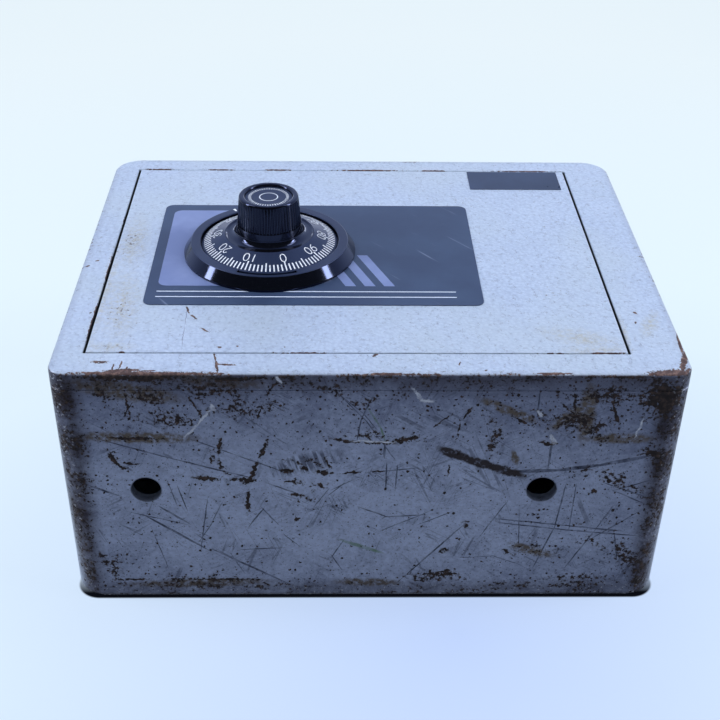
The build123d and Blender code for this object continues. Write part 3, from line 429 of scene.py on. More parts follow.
def wearOnBase(tree, place):
    x = addNode(tree, "SeparateXYZ", {0: place})
    y = addNode(tree, "SeparateXYZ", {0: place}, out=1)

    # darker towards the front edge and the hinge side, mottled all over
    broad = addNode(tree, "TexNoise", {"Vector": place, "Scale": sizeOf(26), "Detail": 5.0, "Roughness": 0.65})
    darkening = addNode(tree, "MapRange", {"Value": broad, "From Min": 0.40, "From Max": 0.68, "To Max": 0.45})
    darkening = ramped(tree, darkening, ((y, -10, -70, 0.8), (y, 34, 76, 0.5), (x, 50, 160, 0.4), (x, -100, -160, 0.25)), "ADD",
                  clamp=True)
    mottle = addNode(tree, "TexNoise", {"Vector": place, "Scale": sizeOf(3.2), "Detail": 4.0, "Roughness": 0.7})
    step = addNode(tree, "MapRange", {"Value": mottle, "From Min": 0.35, "From Max": 0.65, "To Min": -0.18,
                                      "To Max": 0.22})
    darkening = addNode(tree, "Math", {0: darkening, 1: step}, operation="ADD", use_clamp=True)
    paint = addNode(tree, "Mix", {0: darkening, 6: baseWear["paint"], 7: baseWear["worn"]})
    speck = patches(tree, place, 1.3, 2.0, 0.60, 0.66, most=0.55, roughness=0.6)
    paint = addNode(tree, "Mix", {0: speck, 6: paint, 7: baseWear["speck"]})

    # hairlines in four directions, drawn as coarse as the render needs
    for turn, most in baseWear["hairlines"]:
        local = addNode(tree, "Mapping", {"Vector": place, "Rotation": (0, 0, turn), "Scale": (0.12, 0.006, 0.011)},
                        vector_type="TEXTURE")
        lines = addNode(tree, "TexNoise", {"Vector": local, "Scale": 1.0, "Detail": 1.0, "Distortion": 0.15})
        lines = thinLines(tree, lines, 0.012, 0.004, most)
        patch = patches(tree, place, 16 + 5 * turn, 2.0, 0.53, 0.60)
        lines = addNode(tree, "Math", {0: lines, 1: patch}, operation="MULTIPLY")
        paint = addNode(tree, "Mix", {0: lines, 6: paint, 7: baseWear["line"]})

    near = wobbled(tree, place, 0.35, 5.0)
    ragged = wobbled(tree, place, 1.5, 3.0)
    strayed = wobbled(tree, place, 7.0, 16.0)
    faint = patches(tree, place, 7, 3.0, 0.35, 0.6, least=0.4)
    patchy = addNode(tree, "MapRange", {"Value": mottle, "From Min": 0.34, "From Max": 0.54})
    rough = addNode(tree, "MapRange", {"Value": mottle, "From Min": 0.64, "From Max": 0.56, "To Min": 0.5})
    streaks = addNode(tree, "Mapping", {"Vector": place, "Rotation": (0, 0, 1.25), "Scale": (0.02, 0.002, 0.01)},
                      vector_type="TEXTURE")
    streaks = addNode(tree, "TexNoise", {"Vector": streaks, "Scale": 1.0, "Detail": 2.0})
    streaks = addNode(tree, "MapRange", {"Value": streaks, "From Min": 0.44, "From Max": 0.58})
    for kind, where, widen, full, most, spread, tone in (
            ("scratch", near, 0.75, 0.16, 0.95, faint, "line"), ("green", near, 1.0, 0.4, 0.9, faint, "greenTone"),
            ("scrape", ragged, 1.0, 0.4, 0.7, streaks, "line"), ("stain", ragged, 1.1, 0.4, 0.95, patchy, "stainTone"),
            ("gouge", ragged, 1.0, 0.3, 0.97, rough, "gougeTone")):
        layer = addNode(tree, "MapRange", {"Value": strokeMask(tree, where, baseWear[kind], "base", widen),
                                           "From Max": full, "To Max": most})
        layer = addNode(tree, "Math", {0: layer, 1: spread}, operation="MULTIPLY")
        paint = addNode(tree, "Mix", {0: layer, 6: paint, 7: baseWear[tone]})

    # the folded edges are black with scale and dirt, with small bright chips in it
    side = addNode(tree, "Math", {0: addNode(tree, "SeparateXYZ", {0: ragged})}, operation="ABSOLUTE")
    deep = addNode(tree, "SeparateXYZ", {0: ragged}, out=1)
    edges = ramped(tree, 0.0, ((side, 145, 153, 1.0), (deep, -60, -75, 0.9), (deep, 61, 68, 0.55)), "MAXIMUM")
    grimeAndShade = addNode(tree, "Math", {0: broad, 1: 1.6, 2: 0.0}, operation="MULTIPLY_ADD", use_clamp=True)
    grimeAndShade = addNode(tree, "Math", {0: grimeAndShade, 1: edges}, operation="MULTIPLY")
    paint = addNode(tree, "Mix", {0: grimeAndShade, 6: paint, 7: baseWear["edgeTone"]})
    pale = patches(tree, place, 1.7, 2.0, 0.62, 0.70, most=0.7, roughness=0.6)
    rim = ramped(tree, 0.0, ((side, 152, 160, 1.0), (y, 64, 68, 0.8)), "MAXIMUM")
    pale = addNode(tree, "Math", {0: pale, 1: rim}, operation="MULTIPLY")

    # rust: small dots nearly everywhere, thick along the edges and where it was scraped, solid in the scars
    scar = addNode(tree, "MapRange", {"Value": strokeMask(tree, ragged, baseWear["scar"], "base", 1.5),
                                      "From Max": 0.9, "To Max": 0.70})
    cluster = addNode(tree, "MapRange", {"Value": strokeMask(tree, strayed, baseWear["cluster"], "base"),
                                         "From Max": 0.7, "To Max": 0.36})
    density = addNode(tree, "Math", {0: edges, 1: 0.30}, operation="MULTIPLY")
    density = addNode(tree, "Math", {0: scar, 1: density}, operation="MAXIMUM")
    density = addNode(tree, "Math", {0: cluster, 1: density}, operation="MAXIMUM")
    scatter = patches(tree, place, 13, 3.0, 0.36, 0.68, most=0.27, roughness=0.6)
    density = addNode(tree, "Math", {0: density, 1: scatter}, operation="ADD")

    # small pits by themselves, many towards the front edge and the hinge side
    pit = addNode(tree, "TexVoronoi", {"Vector": wobbled(tree, place, 1.0, 1.5), "Scale": sizeOf(baseWear["pitPitch"])},
                  voronoi_dimensions="2D")
    chance = pit.node.outputs["Color"]
    bigness = addNode(tree, "SeparateXYZ", {0: chance})
    share = addNode(tree, "MapRange", {"Value": broad, "From Min": 0.35, "From Max": 0.65, "To Min": 0.04,
                                       "To Max": 0.2})
    share = ramped(tree, share, ((y, -30, -50, 0.35), (y, 44, 64, 0.2), (x, 50, 120, 0.15), (x, -60, -120, 0.1)),
                   "ADD")
    drift = addNode(tree, "MapRange", {"Value": patchy, "To Min": 0.5, "To Max": 1.6})
    share = addNode(tree, "Math", {0: share, 1: drift}, operation="MULTIPLY")
    luck = addNode(tree, "SeparateXYZ", {0: chance}, out=1)
    share = addNode(tree, "Math", {0: share, 1: luck}, operation="GREATER_THAN")
    bigness = addNode(tree, "Math", {0: bigness, 1: 2.5}, operation="POWER")
    reach = addNode(tree, "MapRange", {"Value": bigness, "To Min": 0.07, "To Max": 0.27})
    pit = addNode(tree, "Math", {0: reach, 1: pit}, operation="SUBTRACT")
    pit = addNode(tree, "MapRange", {"Value": pit, "From Min": -0.05, "From Max": 0.03})
    pit = addNode(tree, "Math", {0: pit, 1: share}, operation="MULTIPLY")
    density = addNode(tree, "Math", {0: density, 1: pit}, operation="MAXIMUM")
    chips = addNode(tree, "MapRange", {"Value": strokeMask(tree, ragged, baseWear["bare"], "base"), "From Min": 0.05,
                                       "From Max": 0.35})
    chips = addNode(tree, "Math", {0: chips, 1: patchy}, operation="MULTIPLY")
    chips = addNode(tree, "Math", {0: chips, 1: pale}, operation="MAXIMUM")

    # painted contact shadow: black along the back edge, where the base meets the sheet; black also on the bare edge
    # inside the holes
    backShadowAndHoles = addNode(tree, "MapRange", {"Value": y, "From Min": 72.5 * mm, "From Max": 75 * mm, "To Max": 0.8})
    for centre in baseWear["holes"]:
        off = distance(tree, place, (centre[0] * mm, centre[1] * mm, 0), (1, 1, 0))
        hole = addNode(tree, "MapRange", {"Value": off, "From Min": 8.7 * mm, "From Max": 8.0 * mm, "To Max": 0.75})
        backShadowAndHoles = addNode(tree, "Math", {0: backShadowAndHoles, 1: hole}, operation="MAXIMUM")
    paint = addNode(tree, "Mix", {0: backShadowAndHoles, 6: paint, 7: baseWear["backShadowAndHoles"]})
    return paint, density, chips


def hammerEnamel(name, base, front):
    material, tree, shader = newMaterial(name)
    place = addNode(tree, "TexCoord", out=3)
    x = addNode(tree, "SeparateXYZ", {0: place})
    y = addNode(tree, "SeparateXYZ", {0: place}, out=1)
    z = addNode(tree, "SeparateXYZ", {0: place}, out=2)
    paint, height = hammerPaint(tree, place)

    # sparse specks everywhere, more of them within a few millimetres of the cabinet's outer edges
    fromEdge = []
    for along, middle, half in ((x, 0, 165 * mm), (y, 0, 76 * mm), (z, 132.5 * mm, 132.5 * mm)):
        off = addNode(tree, "Math", {0: along, 1: middle}, operation="SUBTRACT")
        off = addNode(tree, "Math", {0: off}, operation="ABSOLUTE")
        fromEdge.append(addNode(tree, "Math", {0: half, 1: off}, operation="SUBTRACT"))
    low = addNode(tree, "Math", {0: fromEdge[0], 1: fromEdge[1]}, operation="MINIMUM")
    high = addNode(tree, "Math", {0: fromEdge[0], 1: fromEdge[1]}, operation="MAXIMUM")
    second = addNode(tree, "Math", {0: high, 1: fromEdge[2]}, operation="MINIMUM")
    second = addNode(tree, "Math", {0: low, 1: second}, operation="MAXIMUM")
    rim = addNode(tree, "MapRange", {"Value": second, "From Min": 5 * mm, "From Max": 0.0, "To Max": 0.24})
    scatter = patches(tree, place, 30, 2.0, 0.42, 0.75, most=0.24)
    density = addNode(tree, "Math", {0: rim, 1: scatter}, operation="ADD")
    handled = addNode(tree, "MapRange", {"Value": second, "From Min": 5 * mm, "From Max": 0.3 * mm, "To Max": 0.30})
    paint = addNode(tree, "Mix", {0: handled, 6: paint, 7: hammer["edge"]})

    if front:
        paint, density = wearOnFront(tree, place, paint, density)
    if base:
        worn, wornDensity, chips = wearOnBase(tree, place)
        under = addNode(tree, "MapRange", {"Value": z, "From Min": 12 * mm, "From Max": 2 * mm},
                        interpolation_type="SMOOTHSTEP")
        under = ramped(tree, under, ((y, -75.8, -75.2, 1.0), (y, 75.8, 75.2, 1.0)), "MULTIPLY")
        paint = addNode(tree, "Mix", {0: under, 6: paint, 7: worn})
        density = addNode(tree, "Mix", {0: under, 2: density, 3: wornDensity}, data_type="FLOAT")
    fresh = addNode(tree, "MapRange", {"Value": y, "From Min": -75.0 * mm, "From Max": -75.7 * mm})
    colour, height, mask = rustLayer(tree, place, paint, height, density, fresh)
    if base:
        chips = addNode(tree, "Math", {0: chips, 1: under}, operation="MULTIPLY")
        colour = addNode(tree, "Mix", {0: chips, 6: colour, 7: baseWear["chip"]})
    if front:
        # painted shade between the door's edge and the frame: the faces in the gap are painted near black
        gap = ramped(tree, 1.0, ((x, -151, -150.5, 1.0), (x, 138, 137.5, 1.0), (z, 18, 18.5, 1.0),
                                 (z, 251, 250.5, 1.0), (y, -75.4, -74.6, 1.0), (y, -66.2, -66.6, 1.0)), "MULTIPLY")
        colour = addNode(tree, "Mix", {0: gap, 6: colour, 7: hammer["grimeAndShade"]})
        mask = addNode(tree, "Math", {0: gap, 1: mask}, operation="MAXIMUM")
    rough = addNode(tree, "MapRange", {"Value": mask, "To Min": hammer["roughness"], "To Max": 0.88})
    metal = addNode(tree, "MapRange", {"Value": mask, "To Min": hammer["metallic"], "To Max": 0.0})
    bump = addNode(tree, "Bump", {"Height": height, "Distance": hammer["relief"] * mm, "Strength": 1.0})
    feed(tree, shader, {"Base Color": colour, "Roughness": rough, "Metallic": metal, "Normal": bump})
    return material


# The plainer finishes of the parts behind the door

plainFinishes = {
    # matt black primer on hot-rolled bar: dull, with a faint mottle
    "black_steel": {"name": "black_primer", "a": "#26272A", "b": "#17181A", "grain": 3.0, "roughness": 0.62,
                    "metallic": 0.0, "relief": 0.05, "stretch": (1, 1, 1)},
    # ground mild steel: bright, with the wheel's lines across it
    "bright_steel": {"name": "ground_steel", "a": "#C3C5C8", "b": "#A2A4A8", "grain": 0.9, "roughness": 0.30,
                     "metallic": 1.0, "relief": 0.02, "stretch": (0.08, 1, 1)},
    # clear zinc plate: greyer than steel, slightly cloudy
    "zinc_screws": {"name": "zinc_plate", "a": "#BFC2BE", "b": "#A4A69E", "grain": 1.6, "roughness": 0.36,
                    "metallic": 1.0, "relief": 0.01, "stretch": (1, 1, 1)},
    # sintered bronze: brown and slightly porous
    "bronze": {"name": "sintered_bronze", "a": "#B08A5E", "b": "#8A6642", "grain": 0.6, "roughness": 0.48,
               "metallic": 1.0, "relief": 0.03, "stretch": (1, 1, 1)},
    # die-cast zinc, tumbled: mid grey, soft sheen
    "zinc_casting": {"name": "zinc_casting", "a": "#9EA1A6", "b": "#878A90", "grain": 1.2, "roughness": 0.50,
                     "metallic": 0.85, "relief": 0.04, "stretch": (1, 1, 1)},
}


def plainFinish(recipe):
    material, tree, shader = newMaterial(recipe["name"], {"Metallic": recipe["metallic"]})
    place = addNode(tree, "TexCoord", out=3)
    local = addNode(tree, "Mapping", {"Vector": place, "Scale": recipe["stretch"]})
    grain = addNode(tree, "TexNoise", {"Vector": local, "Scale": sizeOf(recipe["grain"]), "Detail": 4.0,
                                       "Roughness": 0.6})
    cloud = addNode(tree, "TexNoise", {"Vector": place, "Scale": sizeOf(14), "Detail": 2.0})
    amount = addNode(tree, "Math", {0: grain, 1: cloud}, operation="ADD")
    amount = addNode(tree, "MapRange", {"Value": amount, "From Min": 0.75, "From Max": 1.25})
    colour = addNode(tree, "Mix", {0: amount, 6: recipe["a"], 7: recipe["b"]})
    rough = addNode(tree, "MapRange", {"Value": grain, "From Min": 0.3, "From Max": 0.7,
                                       "To Min": recipe["roughness"] - 0.07, "To Max": recipe["roughness"] + 0.07})
    bump = addNode(tree, "Bump", {"Height": grain, "Distance": recipe["relief"] * mm, "Strength": 0.6})
    feed(tree, shader, {"Base Color": colour, "Roughness": rough, "Normal": bump})
    return material


turnedBrass = {"bright": "#D9B36A", "tarnish": "#9A7438", "groove": 0.45, "roughness": 0.28}


def brassTurned():
    # free-cutting brass from the lathe: fine rings about the spindle, brown where handled
    material, tree, shader = newMaterial("turned_brass", {"Metallic": 1.0})
    place = addNode(tree, "TexCoord", out=3)
    reach = distance(tree, place, (dialX, 0, dialZ), (1, 0, 1))
    phase = addNode(tree, "Math", {0: reach, 1: 2 * pi * sizeOf(turnedBrass["groove"])}, operation="MULTIPLY")
    rings = addNode(tree, "Math", {0: phase}, operation="SINE")
    amount = patches(tree, place, 9, 4.0, 0.45, 0.72, roughness=0.6)
    colour = addNode(tree, "Mix", {0: amount, 6: turnedBrass["bright"],
                                   7: turnedBrass["tarnish"]})
    rough = addNode(tree, "MapRange", {"Value": amount, "To Min": turnedBrass["roughness"], "To Max": 0.45})
    bump = addNode(tree, "Bump", {"Height": rings, "Distance": 0.01 * mm, "Strength": 0.3})
    feed(tree, shader, {"Base Color": colour, "Roughness": rough, "Normal": bump})
    return material


# Dial enamel: gloss black on the turned edges, a satin skin on the faces that carry marks

dialEnamel = {
    "black": "#08090D",
    "satin": "#1D263A",
    "sheen": "#B4C5FF",
    "gloss": 0.05,
    "satinRoughness": 0.40,
    "dust": 0.04,
    "dustTone": "#8A92A3",
}


def enamelBlack(name, satinTo, satinBeyond):
    # satin in front of satinTo (m along Y) and further from the dial's axis than satinBeyond
    material, tree, shader = newMaterial(name, {"Specular IOR Level": 0.75,
                                                "Specular Tint": dialEnamel["sheen"]})
    place = addNode(tree, "TexCoord", out=3)
    y = addNode(tree, "SeparateXYZ", {0: place}, out=1)
    reach = distance(tree, place, (dialX, 0, dialZ), (1, 0, 1))
    beyond = addNode(tree, "Math", {0: reach, 1: satinBeyond}, operation="GREATER_THAN")
    before = addNode(tree, "Math", {0: y, 1: satinTo}, operation="LESS_THAN")
    satin = addNode(tree, "Math", {0: beyond, 1: before}, operation="MULTIPLY")
    dust = patches(tree, place, 0.7, 3.0, 0.62, 0.72, most=dialEnamel["dust"])
    smear = addNode(tree, "TexNoise", {"Vector": place, "Scale": sizeOf(11), "Detail": 3.0})
    colour = addNode(tree, "Mix", {0: satin, 6: dialEnamel["black"], 7: dialEnamel["satin"]})
    colour = addNode(tree, "Mix", {0: dust, 6: colour, 7: dialEnamel["dustTone"]})
    rough = addNode(tree, "MapRange", {"Value": satin, "To Min": dialEnamel["gloss"],
                                       "To Max": dialEnamel["satinRoughness"]})
    rough = addNode(tree, "Math", {0: smear, 1: 0.08, 2: rough}, operation="MULTIPLY_ADD")
    feed(tree, shader, {"Base Color": colour, "Roughness": rough})
    return material


foil = {
    "slate": "#364460",
    "cloud": "#3F506D",
    "vinyl": "#2C3850",
    "lavender": "#8998C4",
    "lavenderDeep": "#7382B0",
    "ink": "#DCE6F8",
    "scuff": "#A9B6D2",
    "roughness": 0.34,
    "vinylRoughness": 0.30,
    "inkRoughness": 0.45,
}


def printedFoil(name, a, b, roughness):
    # screen-printed polyester foil: even colour with a soft sheen, a little scuffed
    material, tree, shader = newMaterial(name, {"Specular IOR Level": 0.2})
    place = addNode(tree, "TexCoord", out=3)
    cloud = addNode(tree, "TexNoise", {"Vector": place, "Scale": sizeOf(34), "Detail": 4.0, "Roughness": 0.55})
    amount = addNode(tree, "MapRange", {"Value": cloud, "From Min": 0.38, "From Max": 0.70})
    colour = addNode(tree, "Mix", {0: amount, 6: a, 7: b})
    local = addNode(tree, "Mapping", {"Vector": place, "Rotation": (0, 0.9, 0), "Scale": (0.04, 0.01, 0.0024)},
                    vector_type="TEXTURE")
    scuff = addNode(tree, "TexNoise", {"Vector": local, "Scale": 1.0, "Detail": 2.0})
    scuff = addNode(tree, "MapRange", {"Value": scuff, "From Min": 0.70, "From Max": 0.78, "To Max": 0.25})
    colour = addNode(tree, "Mix", {0: scuff, 6: colour, 7: foil["scuff"]})
    rough = addNode(tree, "Math", {0: cloud, 1: 0.2, 2: roughness - 0.1}, operation="MULTIPLY_ADD")
    fine = addNode(tree, "TexNoise", {"Vector": place, "Scale": sizeOf(1.4), "Detail": 2.0})
    bump = addNode(tree, "Bump", {"Height": fine, "Distance": 0.02 * mm, "Strength": 0.4})
    feed(tree, shader, {"Base Color": colour, "Roughness": rough, "Normal": bump})
    return material


filling = {"white": "#EEF3FB", "worn": "#B9C4D6", "roughness": 0.55}


def fillingPaint():
    # white filling paint in the engraved lines: chalky, slightly worn at the edges
    material, tree, shader = newMaterial("filling_paint", {"Roughness": filling["roughness"]})
    place = addNode(tree, "TexCoord", out=3)
    wear = patches(tree, place, 1.2, 3.0, 0.52, 0.75)
    colour = addNode(tree, "Mix", {0: wear, 6: filling["white"], 7: filling["worn"]})
    feed(tree, shader, {"Base Color": colour})
    return material


print("materials")
frameMaterial = hammerEnamel("hammer_enamel_frame", True, True)
doorMaterial = hammerEnamel("hammer_enamel_door", False, True)
wrapMaterial = hammerEnamel("hammer_enamel_wrap", True, False)
brassMaterial = brassTurned()
fillMaterial = fillingPaint()
slateMaterial = printedFoil("printed_foil_slate", foil["slate"], foil["cloud"], foil["roughness"])
lavenderMaterial = printedFoil("printed_foil_lavender", foil["lavenderDeep"], foil["lavender"], foil["roughness"])
inkMaterial = printedFoil("printed_foil_ink", foil["ink"], foil["ink"], foil["inkRoughness"])
stickerMaterial = printedFoil("printed_vinyl_sticker", foil["vinyl"], foil["slate"], foil["vinylRoughness"])
ringMaterial = enamelBlack("dial_enamel_ring", ringTop + 0.45 * mm, 0)
discMaterial = enamelBlack("dial_enamel_disc", doorFace, 26.3 * mm)
knobMaterial = enamelBlack("dial_enamel_knob", -1.0, 0)
capMaterial = enamelBlack("dial_enamel_cap", capTop + 0.1 * mm, 0)
slotMaterials = {slot: plainFinish(recipe) for slot, recipe in plainFinishes.items()}
slotMaterials.update({
    "hammertone": wrapMaterial,
    "brass": brassMaterial,
    "black_enamel": ringMaterial,
    "printed_foil": slateMaterial,
})
nodeMaterials = {
    "front_frame": frameMaterial,
    "door_plate": doorMaterial,
    "dial_disc": discMaterial,
    "knob": knobMaterial,
    "knob_cap": capMaterial,
    "service_sticker": stickerMaterial,
}

for row in frame["record"]["subparts"]:
    node = frame["nodes"][row["node"]]
    material = nodeMaterials.get(row["node"], slotMaterials[row["material_slot"]])
    if not node.material_slots:
        node.data.materials.append(material)
    for place in node.material_slots:
        place.material = material


# The numbered face of the dial is a cone: its rim and its crown, radius and height above the door

cone = {"rim": 39.7 * mm, "rimHeight": 6.7 * mm, "crown": 26.2 * mm, "crownHeight": 13.0 * mm}
coneAngle = atan2(cone["crownHeight"] - cone["rimHeight"], cone["rim"] - cone["crown"])


def layOnCone(mesh, radius, clock):
    # the mark is drawn upright about the origin, its foot at z = 0; clock is degrees clockwise from twelve
    height = cone["rimHeight"] + (cone["rim"] - radius) * tan(coneAngle)
    mesh.transform(Matrix.Rotation(-coneAngle, 4, "X"))
    mesh.transform(Matrix.Translation((0, doorFace - height, radius)))
    mesh.transform(Matrix.Translation((dialX, 0, dialZ)) @ Matrix.Rotation(radians(clock), 4, "Y"))


# Dial graduations: a hundred engraved lines, filled with paint, standing a hair above the enamel

graduation = {
    "zero": 163.0,            # degrees clockwise from twelve
    "outer": 38.6 * mm,
    "lengths": {1: 4.6 * mm, 5: 6.0 * mm, 10: 6.5 * mm},
    "width": 0.80 * mm,
    "proud": 0.06 * mm,
    "sunk": 0.10 * mm,
    "soften": 0.03 * mm,
}


def modelLine(length):
    deep = graduation["proud"] + graduation["sunk"]
    clearSelection()
    bpy.ops.mesh.primitive_cube_add(size=1, location=(0, deep / 2 - graduation["proud"], -length / 2))
    line = bpy.context.object
    line.scale = (graduation["width"], deep, length)
    settle(line)
    pick(line, "FACE", lambda face: face.normal.y < -0.9)
    bpy.ops.mesh.bevel(offset=graduation["soften"], segments=1, affect="EDGES")
    bpy.ops.object.mode_set(mode="OBJECT")
    return line


def modelGraduations():
    patterns = {step: modelLine(length) for step, length in graduation["lengths"].items()}
    lines = []
    for index in range(100):
        step = 10 if index % 10 == 0 else 5 if index % 5 == 0 else 1
        clearSelection()
        patterns[step].select_set(True)
        bpy.context.view_layer.objects.active = patterns[step]
        bpy.ops.object.duplicate()
        line = bpy.context.object
        layOnCone(line.data, graduation["outer"], graduation["zero"] + index * 3.6)
        lines.append(line)
    for pattern in patterns.values():
        bpy.data.objects.remove(pattern)
    piece = joined(lines, "dial_graduations")
    finishPiece(piece, "dial", fillMaterial)


# Dial numbers: engraved with a single round cutter, so each figure is one or two strokes
# points are (x, z) in a cell 0.6 wide and 1 high; r is a round point and c a corner

figures = {
    "0": [(True, [(0.30, 1.00, "r"), (0.60, 0.50, "r"), (0.30, 0.00, "r"), (0.00, 0.50, "r")])],
    "1": [(False, [(0.30, 0.00, "c"), (0.30, 1.00, "c")])],
    "2": [(False, [(0.03, 0.76, "r"), (0.30, 1.00, "r"), (0.57, 0.74, "r"), (0.40, 0.42, "r"), (0.00, 0.00, "c"),
                   (0.60, 0.00, "c")])],
    "3": [(False, [(0.04, 0.82, "r"), (0.29, 1.00, "r"), (0.54, 0.77, "r"), (0.26, 0.55, "c")]),
          (False, [(0.26, 0.55, "c"), (0.59, 0.29, "r"), (0.29, 0.00, "r"), (0.00, 0.20, "r")])],
    "4": [(False, [(0.46, 0.00, "c"), (0.46, 1.00, "c"), (0.00, 0.30, "c"), (0.62, 0.30, "c")])],
    "5": [(False, [(0.54, 1.00, "c"), (0.10, 1.00, "c"), (0.05, 0.55, "c"), (0.31, 0.63, "r"), (0.59, 0.33, "r"),
                   (0.29, 0.00, "r"), (0.00, 0.15, "r")])],
    "6": [(True, [(0.30, 0.60, "r"), (0.59, 0.30, "r"), (0.30, 0.00, "r"), (0.01, 0.30, "r")]),
          (False, [(0.01, 0.30, "r"), (0.12, 0.70, "r"), (0.46, 1.00, "r")])],
    "7": [(False, [(0.00, 1.00, "c"), (0.60, 1.00, "c"), (0.20, 0.00, "c")])],
    "8": [(True, [(0.30, 1.00, "r"), (0.54, 0.78, "r"), (0.30, 0.55, "r"), (0.06, 0.78, "r")]),
          (True, [(0.30, 0.55, "r"), (0.60, 0.28, "r"), (0.30, 0.00, "r"), (0.00, 0.28, "r")])],
    "9": [(True, [(0.30, 0.40, "r"), (0.01, 0.70, "r"), (0.30, 1.00, "r"), (0.59, 0.70, "r")]),
          (False, [(0.59, 0.70, "r"), (0.48, 0.30, "r"), (0.14, 0.00, "r")])],
}
numbering = {
    "foot": 28.1 * mm,       # radius of the figures' feet
    "height": 5.2 * mm,
    "advance": 0.86,         # of the height
    "cell": 0.60,
    "cutter": 0.33 * mm,     # half the stroke's width
    "flatten": 0.25,
}


def modelNumber(text, clock):
    curve = bpy.data.curves.new("dial_number", "CURVE")
    curve.dimensions = "3D"
    curve.bevel_depth = numbering["cutter"] / numbering["height"]
    curve.bevel_resolution = 1
    curve.use_fill_caps = True
    curve.resolution_u = 6
    width = (len(text) - 1) * numbering["advance"] + numbering["cell"]
    for order, letter in enumerate(text):
        start = order * numbering["advance"] - width / 2
        for closed, points in figures[letter]:
            spline = curve.splines.new("BEZIER")
            spline.bezier_points.add(len(points) - 1)
            spline.use_cyclic_u = closed
            for knot, (x, z, kind) in zip(spline.bezier_points, points):
                knot.co = (start + x, 0, z)
                knot.handle_left_type = knot.handle_right_type = "AUTO" if kind == "r" else "VECTOR"
    number = bpy.data.objects.new("dial_number", curve)
    bpy.context.collection.objects.link(number)
    clearSelection()
    number.select_set(True)
    bpy.context.view_layer.objects.active = number
    bpy.ops.object.convert(target="MESH")
    number = bpy.context.object
    height = numbering["height"]
    number.data.transform(Matrix.Diagonal((height, height * numbering["flatten"], height, 1)))
    layOnCone(number.data, numbering["foot"], clock)
    return number


def modelNumbers():
    numbers = [modelNumber(str(value), graduation["zero"] + value * 3.6) for value in range(0, 100, 10)]
    piece = joined(numbers, "dial_numbers")
    finishPiece(piece, "dial", fillMaterial)


modelGraduations()
modelNumbers()
print("dial marked")


# Index marks on the ring: one at twelve for opening, one at eleven for changing the combination

indexMark = {"inner": 42.6 * mm, "outer": 45.8 * mm, "width": 1.8 * mm, "proud": 0.12 * mm, "deep": 0.5 * mm}


def modelIndexMark(clock):
    length = indexMark["outer"] - indexMark["inner"]
    clearSelection()
    bpy.ops.mesh.primitive_cube_add(size=1, location=(0, ringTop - indexMark["proud"] + indexMark["deep"] / 2,
                                                      (indexMark["inner"] + indexMark["outer"]) / 2))
    mark = bpy.context.object
    mark.scale = (indexMark["width"], indexMark["deep"], length)
    settle(mark)
    pick(mark, "FACE", lambda face: face.normal.z < -0.9)
    bpy.ops.transform.resize(value=(0.45, 1, 1))
    pick(mark, "FACE", lambda face: face.normal.y < -0.9)
    bpy.ops.mesh.bevel(offset=0.05 * mm, segments=2, affect="EDGES")
    bpy.ops.object.mode_set(mode="OBJECT")
    mark.data.transform(Matrix.Translation((dialX, 0, dialZ)) @ Matrix.Rotation(radians(clock), 4, "Y"))
    return mark


finishPiece(joined([modelIndexMark(0), modelIndexMark(-31)], "ring_index_marks"), "door", fillMaterial)


# Cap of the knob: a plain painted ring of short bars round a smaller ring

capRing = {"radius": 11.0 * mm, "bars": 48, "length": 1.7 * mm, "width": 0.55 * mm, "inner": 5.2 * mm,
           "line": 0.28 * mm, "proud": 0.05 * mm}


def modelCapRing():
    parts = []
    top = capTop
    clearSelection()
    bpy.ops.mesh.primitive_cube_add(size=1, location=(0, top, capRing["radius"]))
    bar = bpy.context.object
    bar.scale = (capRing["width"], 2 * capRing["proud"], capRing["length"])
    settle(bar)
    pick(bar, "FACE", lambda face: face.normal.y < -0.9)
    bpy.ops.mesh.bevel(offset=0.03 * mm, segments=1, affect="EDGES")
    bpy.ops.object.mode_set(mode="OBJECT")
    for index in range(capRing["bars"]):
        clearSelection()
        bar.select_set(True)
        bpy.context.view_layer.objects.active = bar
        bpy.ops.object.duplicate()
        copy = bpy.context.object
        turn = Matrix.Rotation(2 * pi * index / capRing["bars"], 4, "Y")
        copy.data.transform(Matrix.Translation((dialX, 0, dialZ)) @ turn)
        parts.append(copy)
    bpy.data.objects.remove(bar)
    clearSelection()
    bpy.ops.mesh.primitive_torus_add(major_radius=capRing["inner"], minor_radius=capRing["line"], major_segments=96,
                                     minor_segments=8, location=(dialX, top, dialZ), rotation=(pi / 2, 0, 0))
    ring = bpy.context.object
    settle(ring)
    pick(ring, "VERT", lambda vertex: True)
    bpy.ops.transform.resize(value=(1, capRing["proud"] / capRing["line"], 1), center_override=(dialX, top, dialZ))
    bpy.ops.object.mode_set(mode="OBJECT")
    parts.append(ring)
    finishPiece(joined(parts, "cap_ring"), "dial", fillMaterial)


modelCapRing()


# Print on the label: a panel behind the dial, slanted bars beyond it and two thin rules along the foot

labelPrint = {
    "thick": 0.04 * mm,
    "panel": {"left": 6.0, "right": 62.0, "foot": 21.0, "head": 117.0, "corner": 5.0},   # mm from the label's corner
    "bars": {"left": [97.0, 108.0, 119.0], "width": 6.0, "foot": 21.0, "head": 58.0, "lean": 15.0},
    "rules": {"left": 6.2, "right": 174.0, "heights": [14.6, 8.6], "width": 0.8},
}


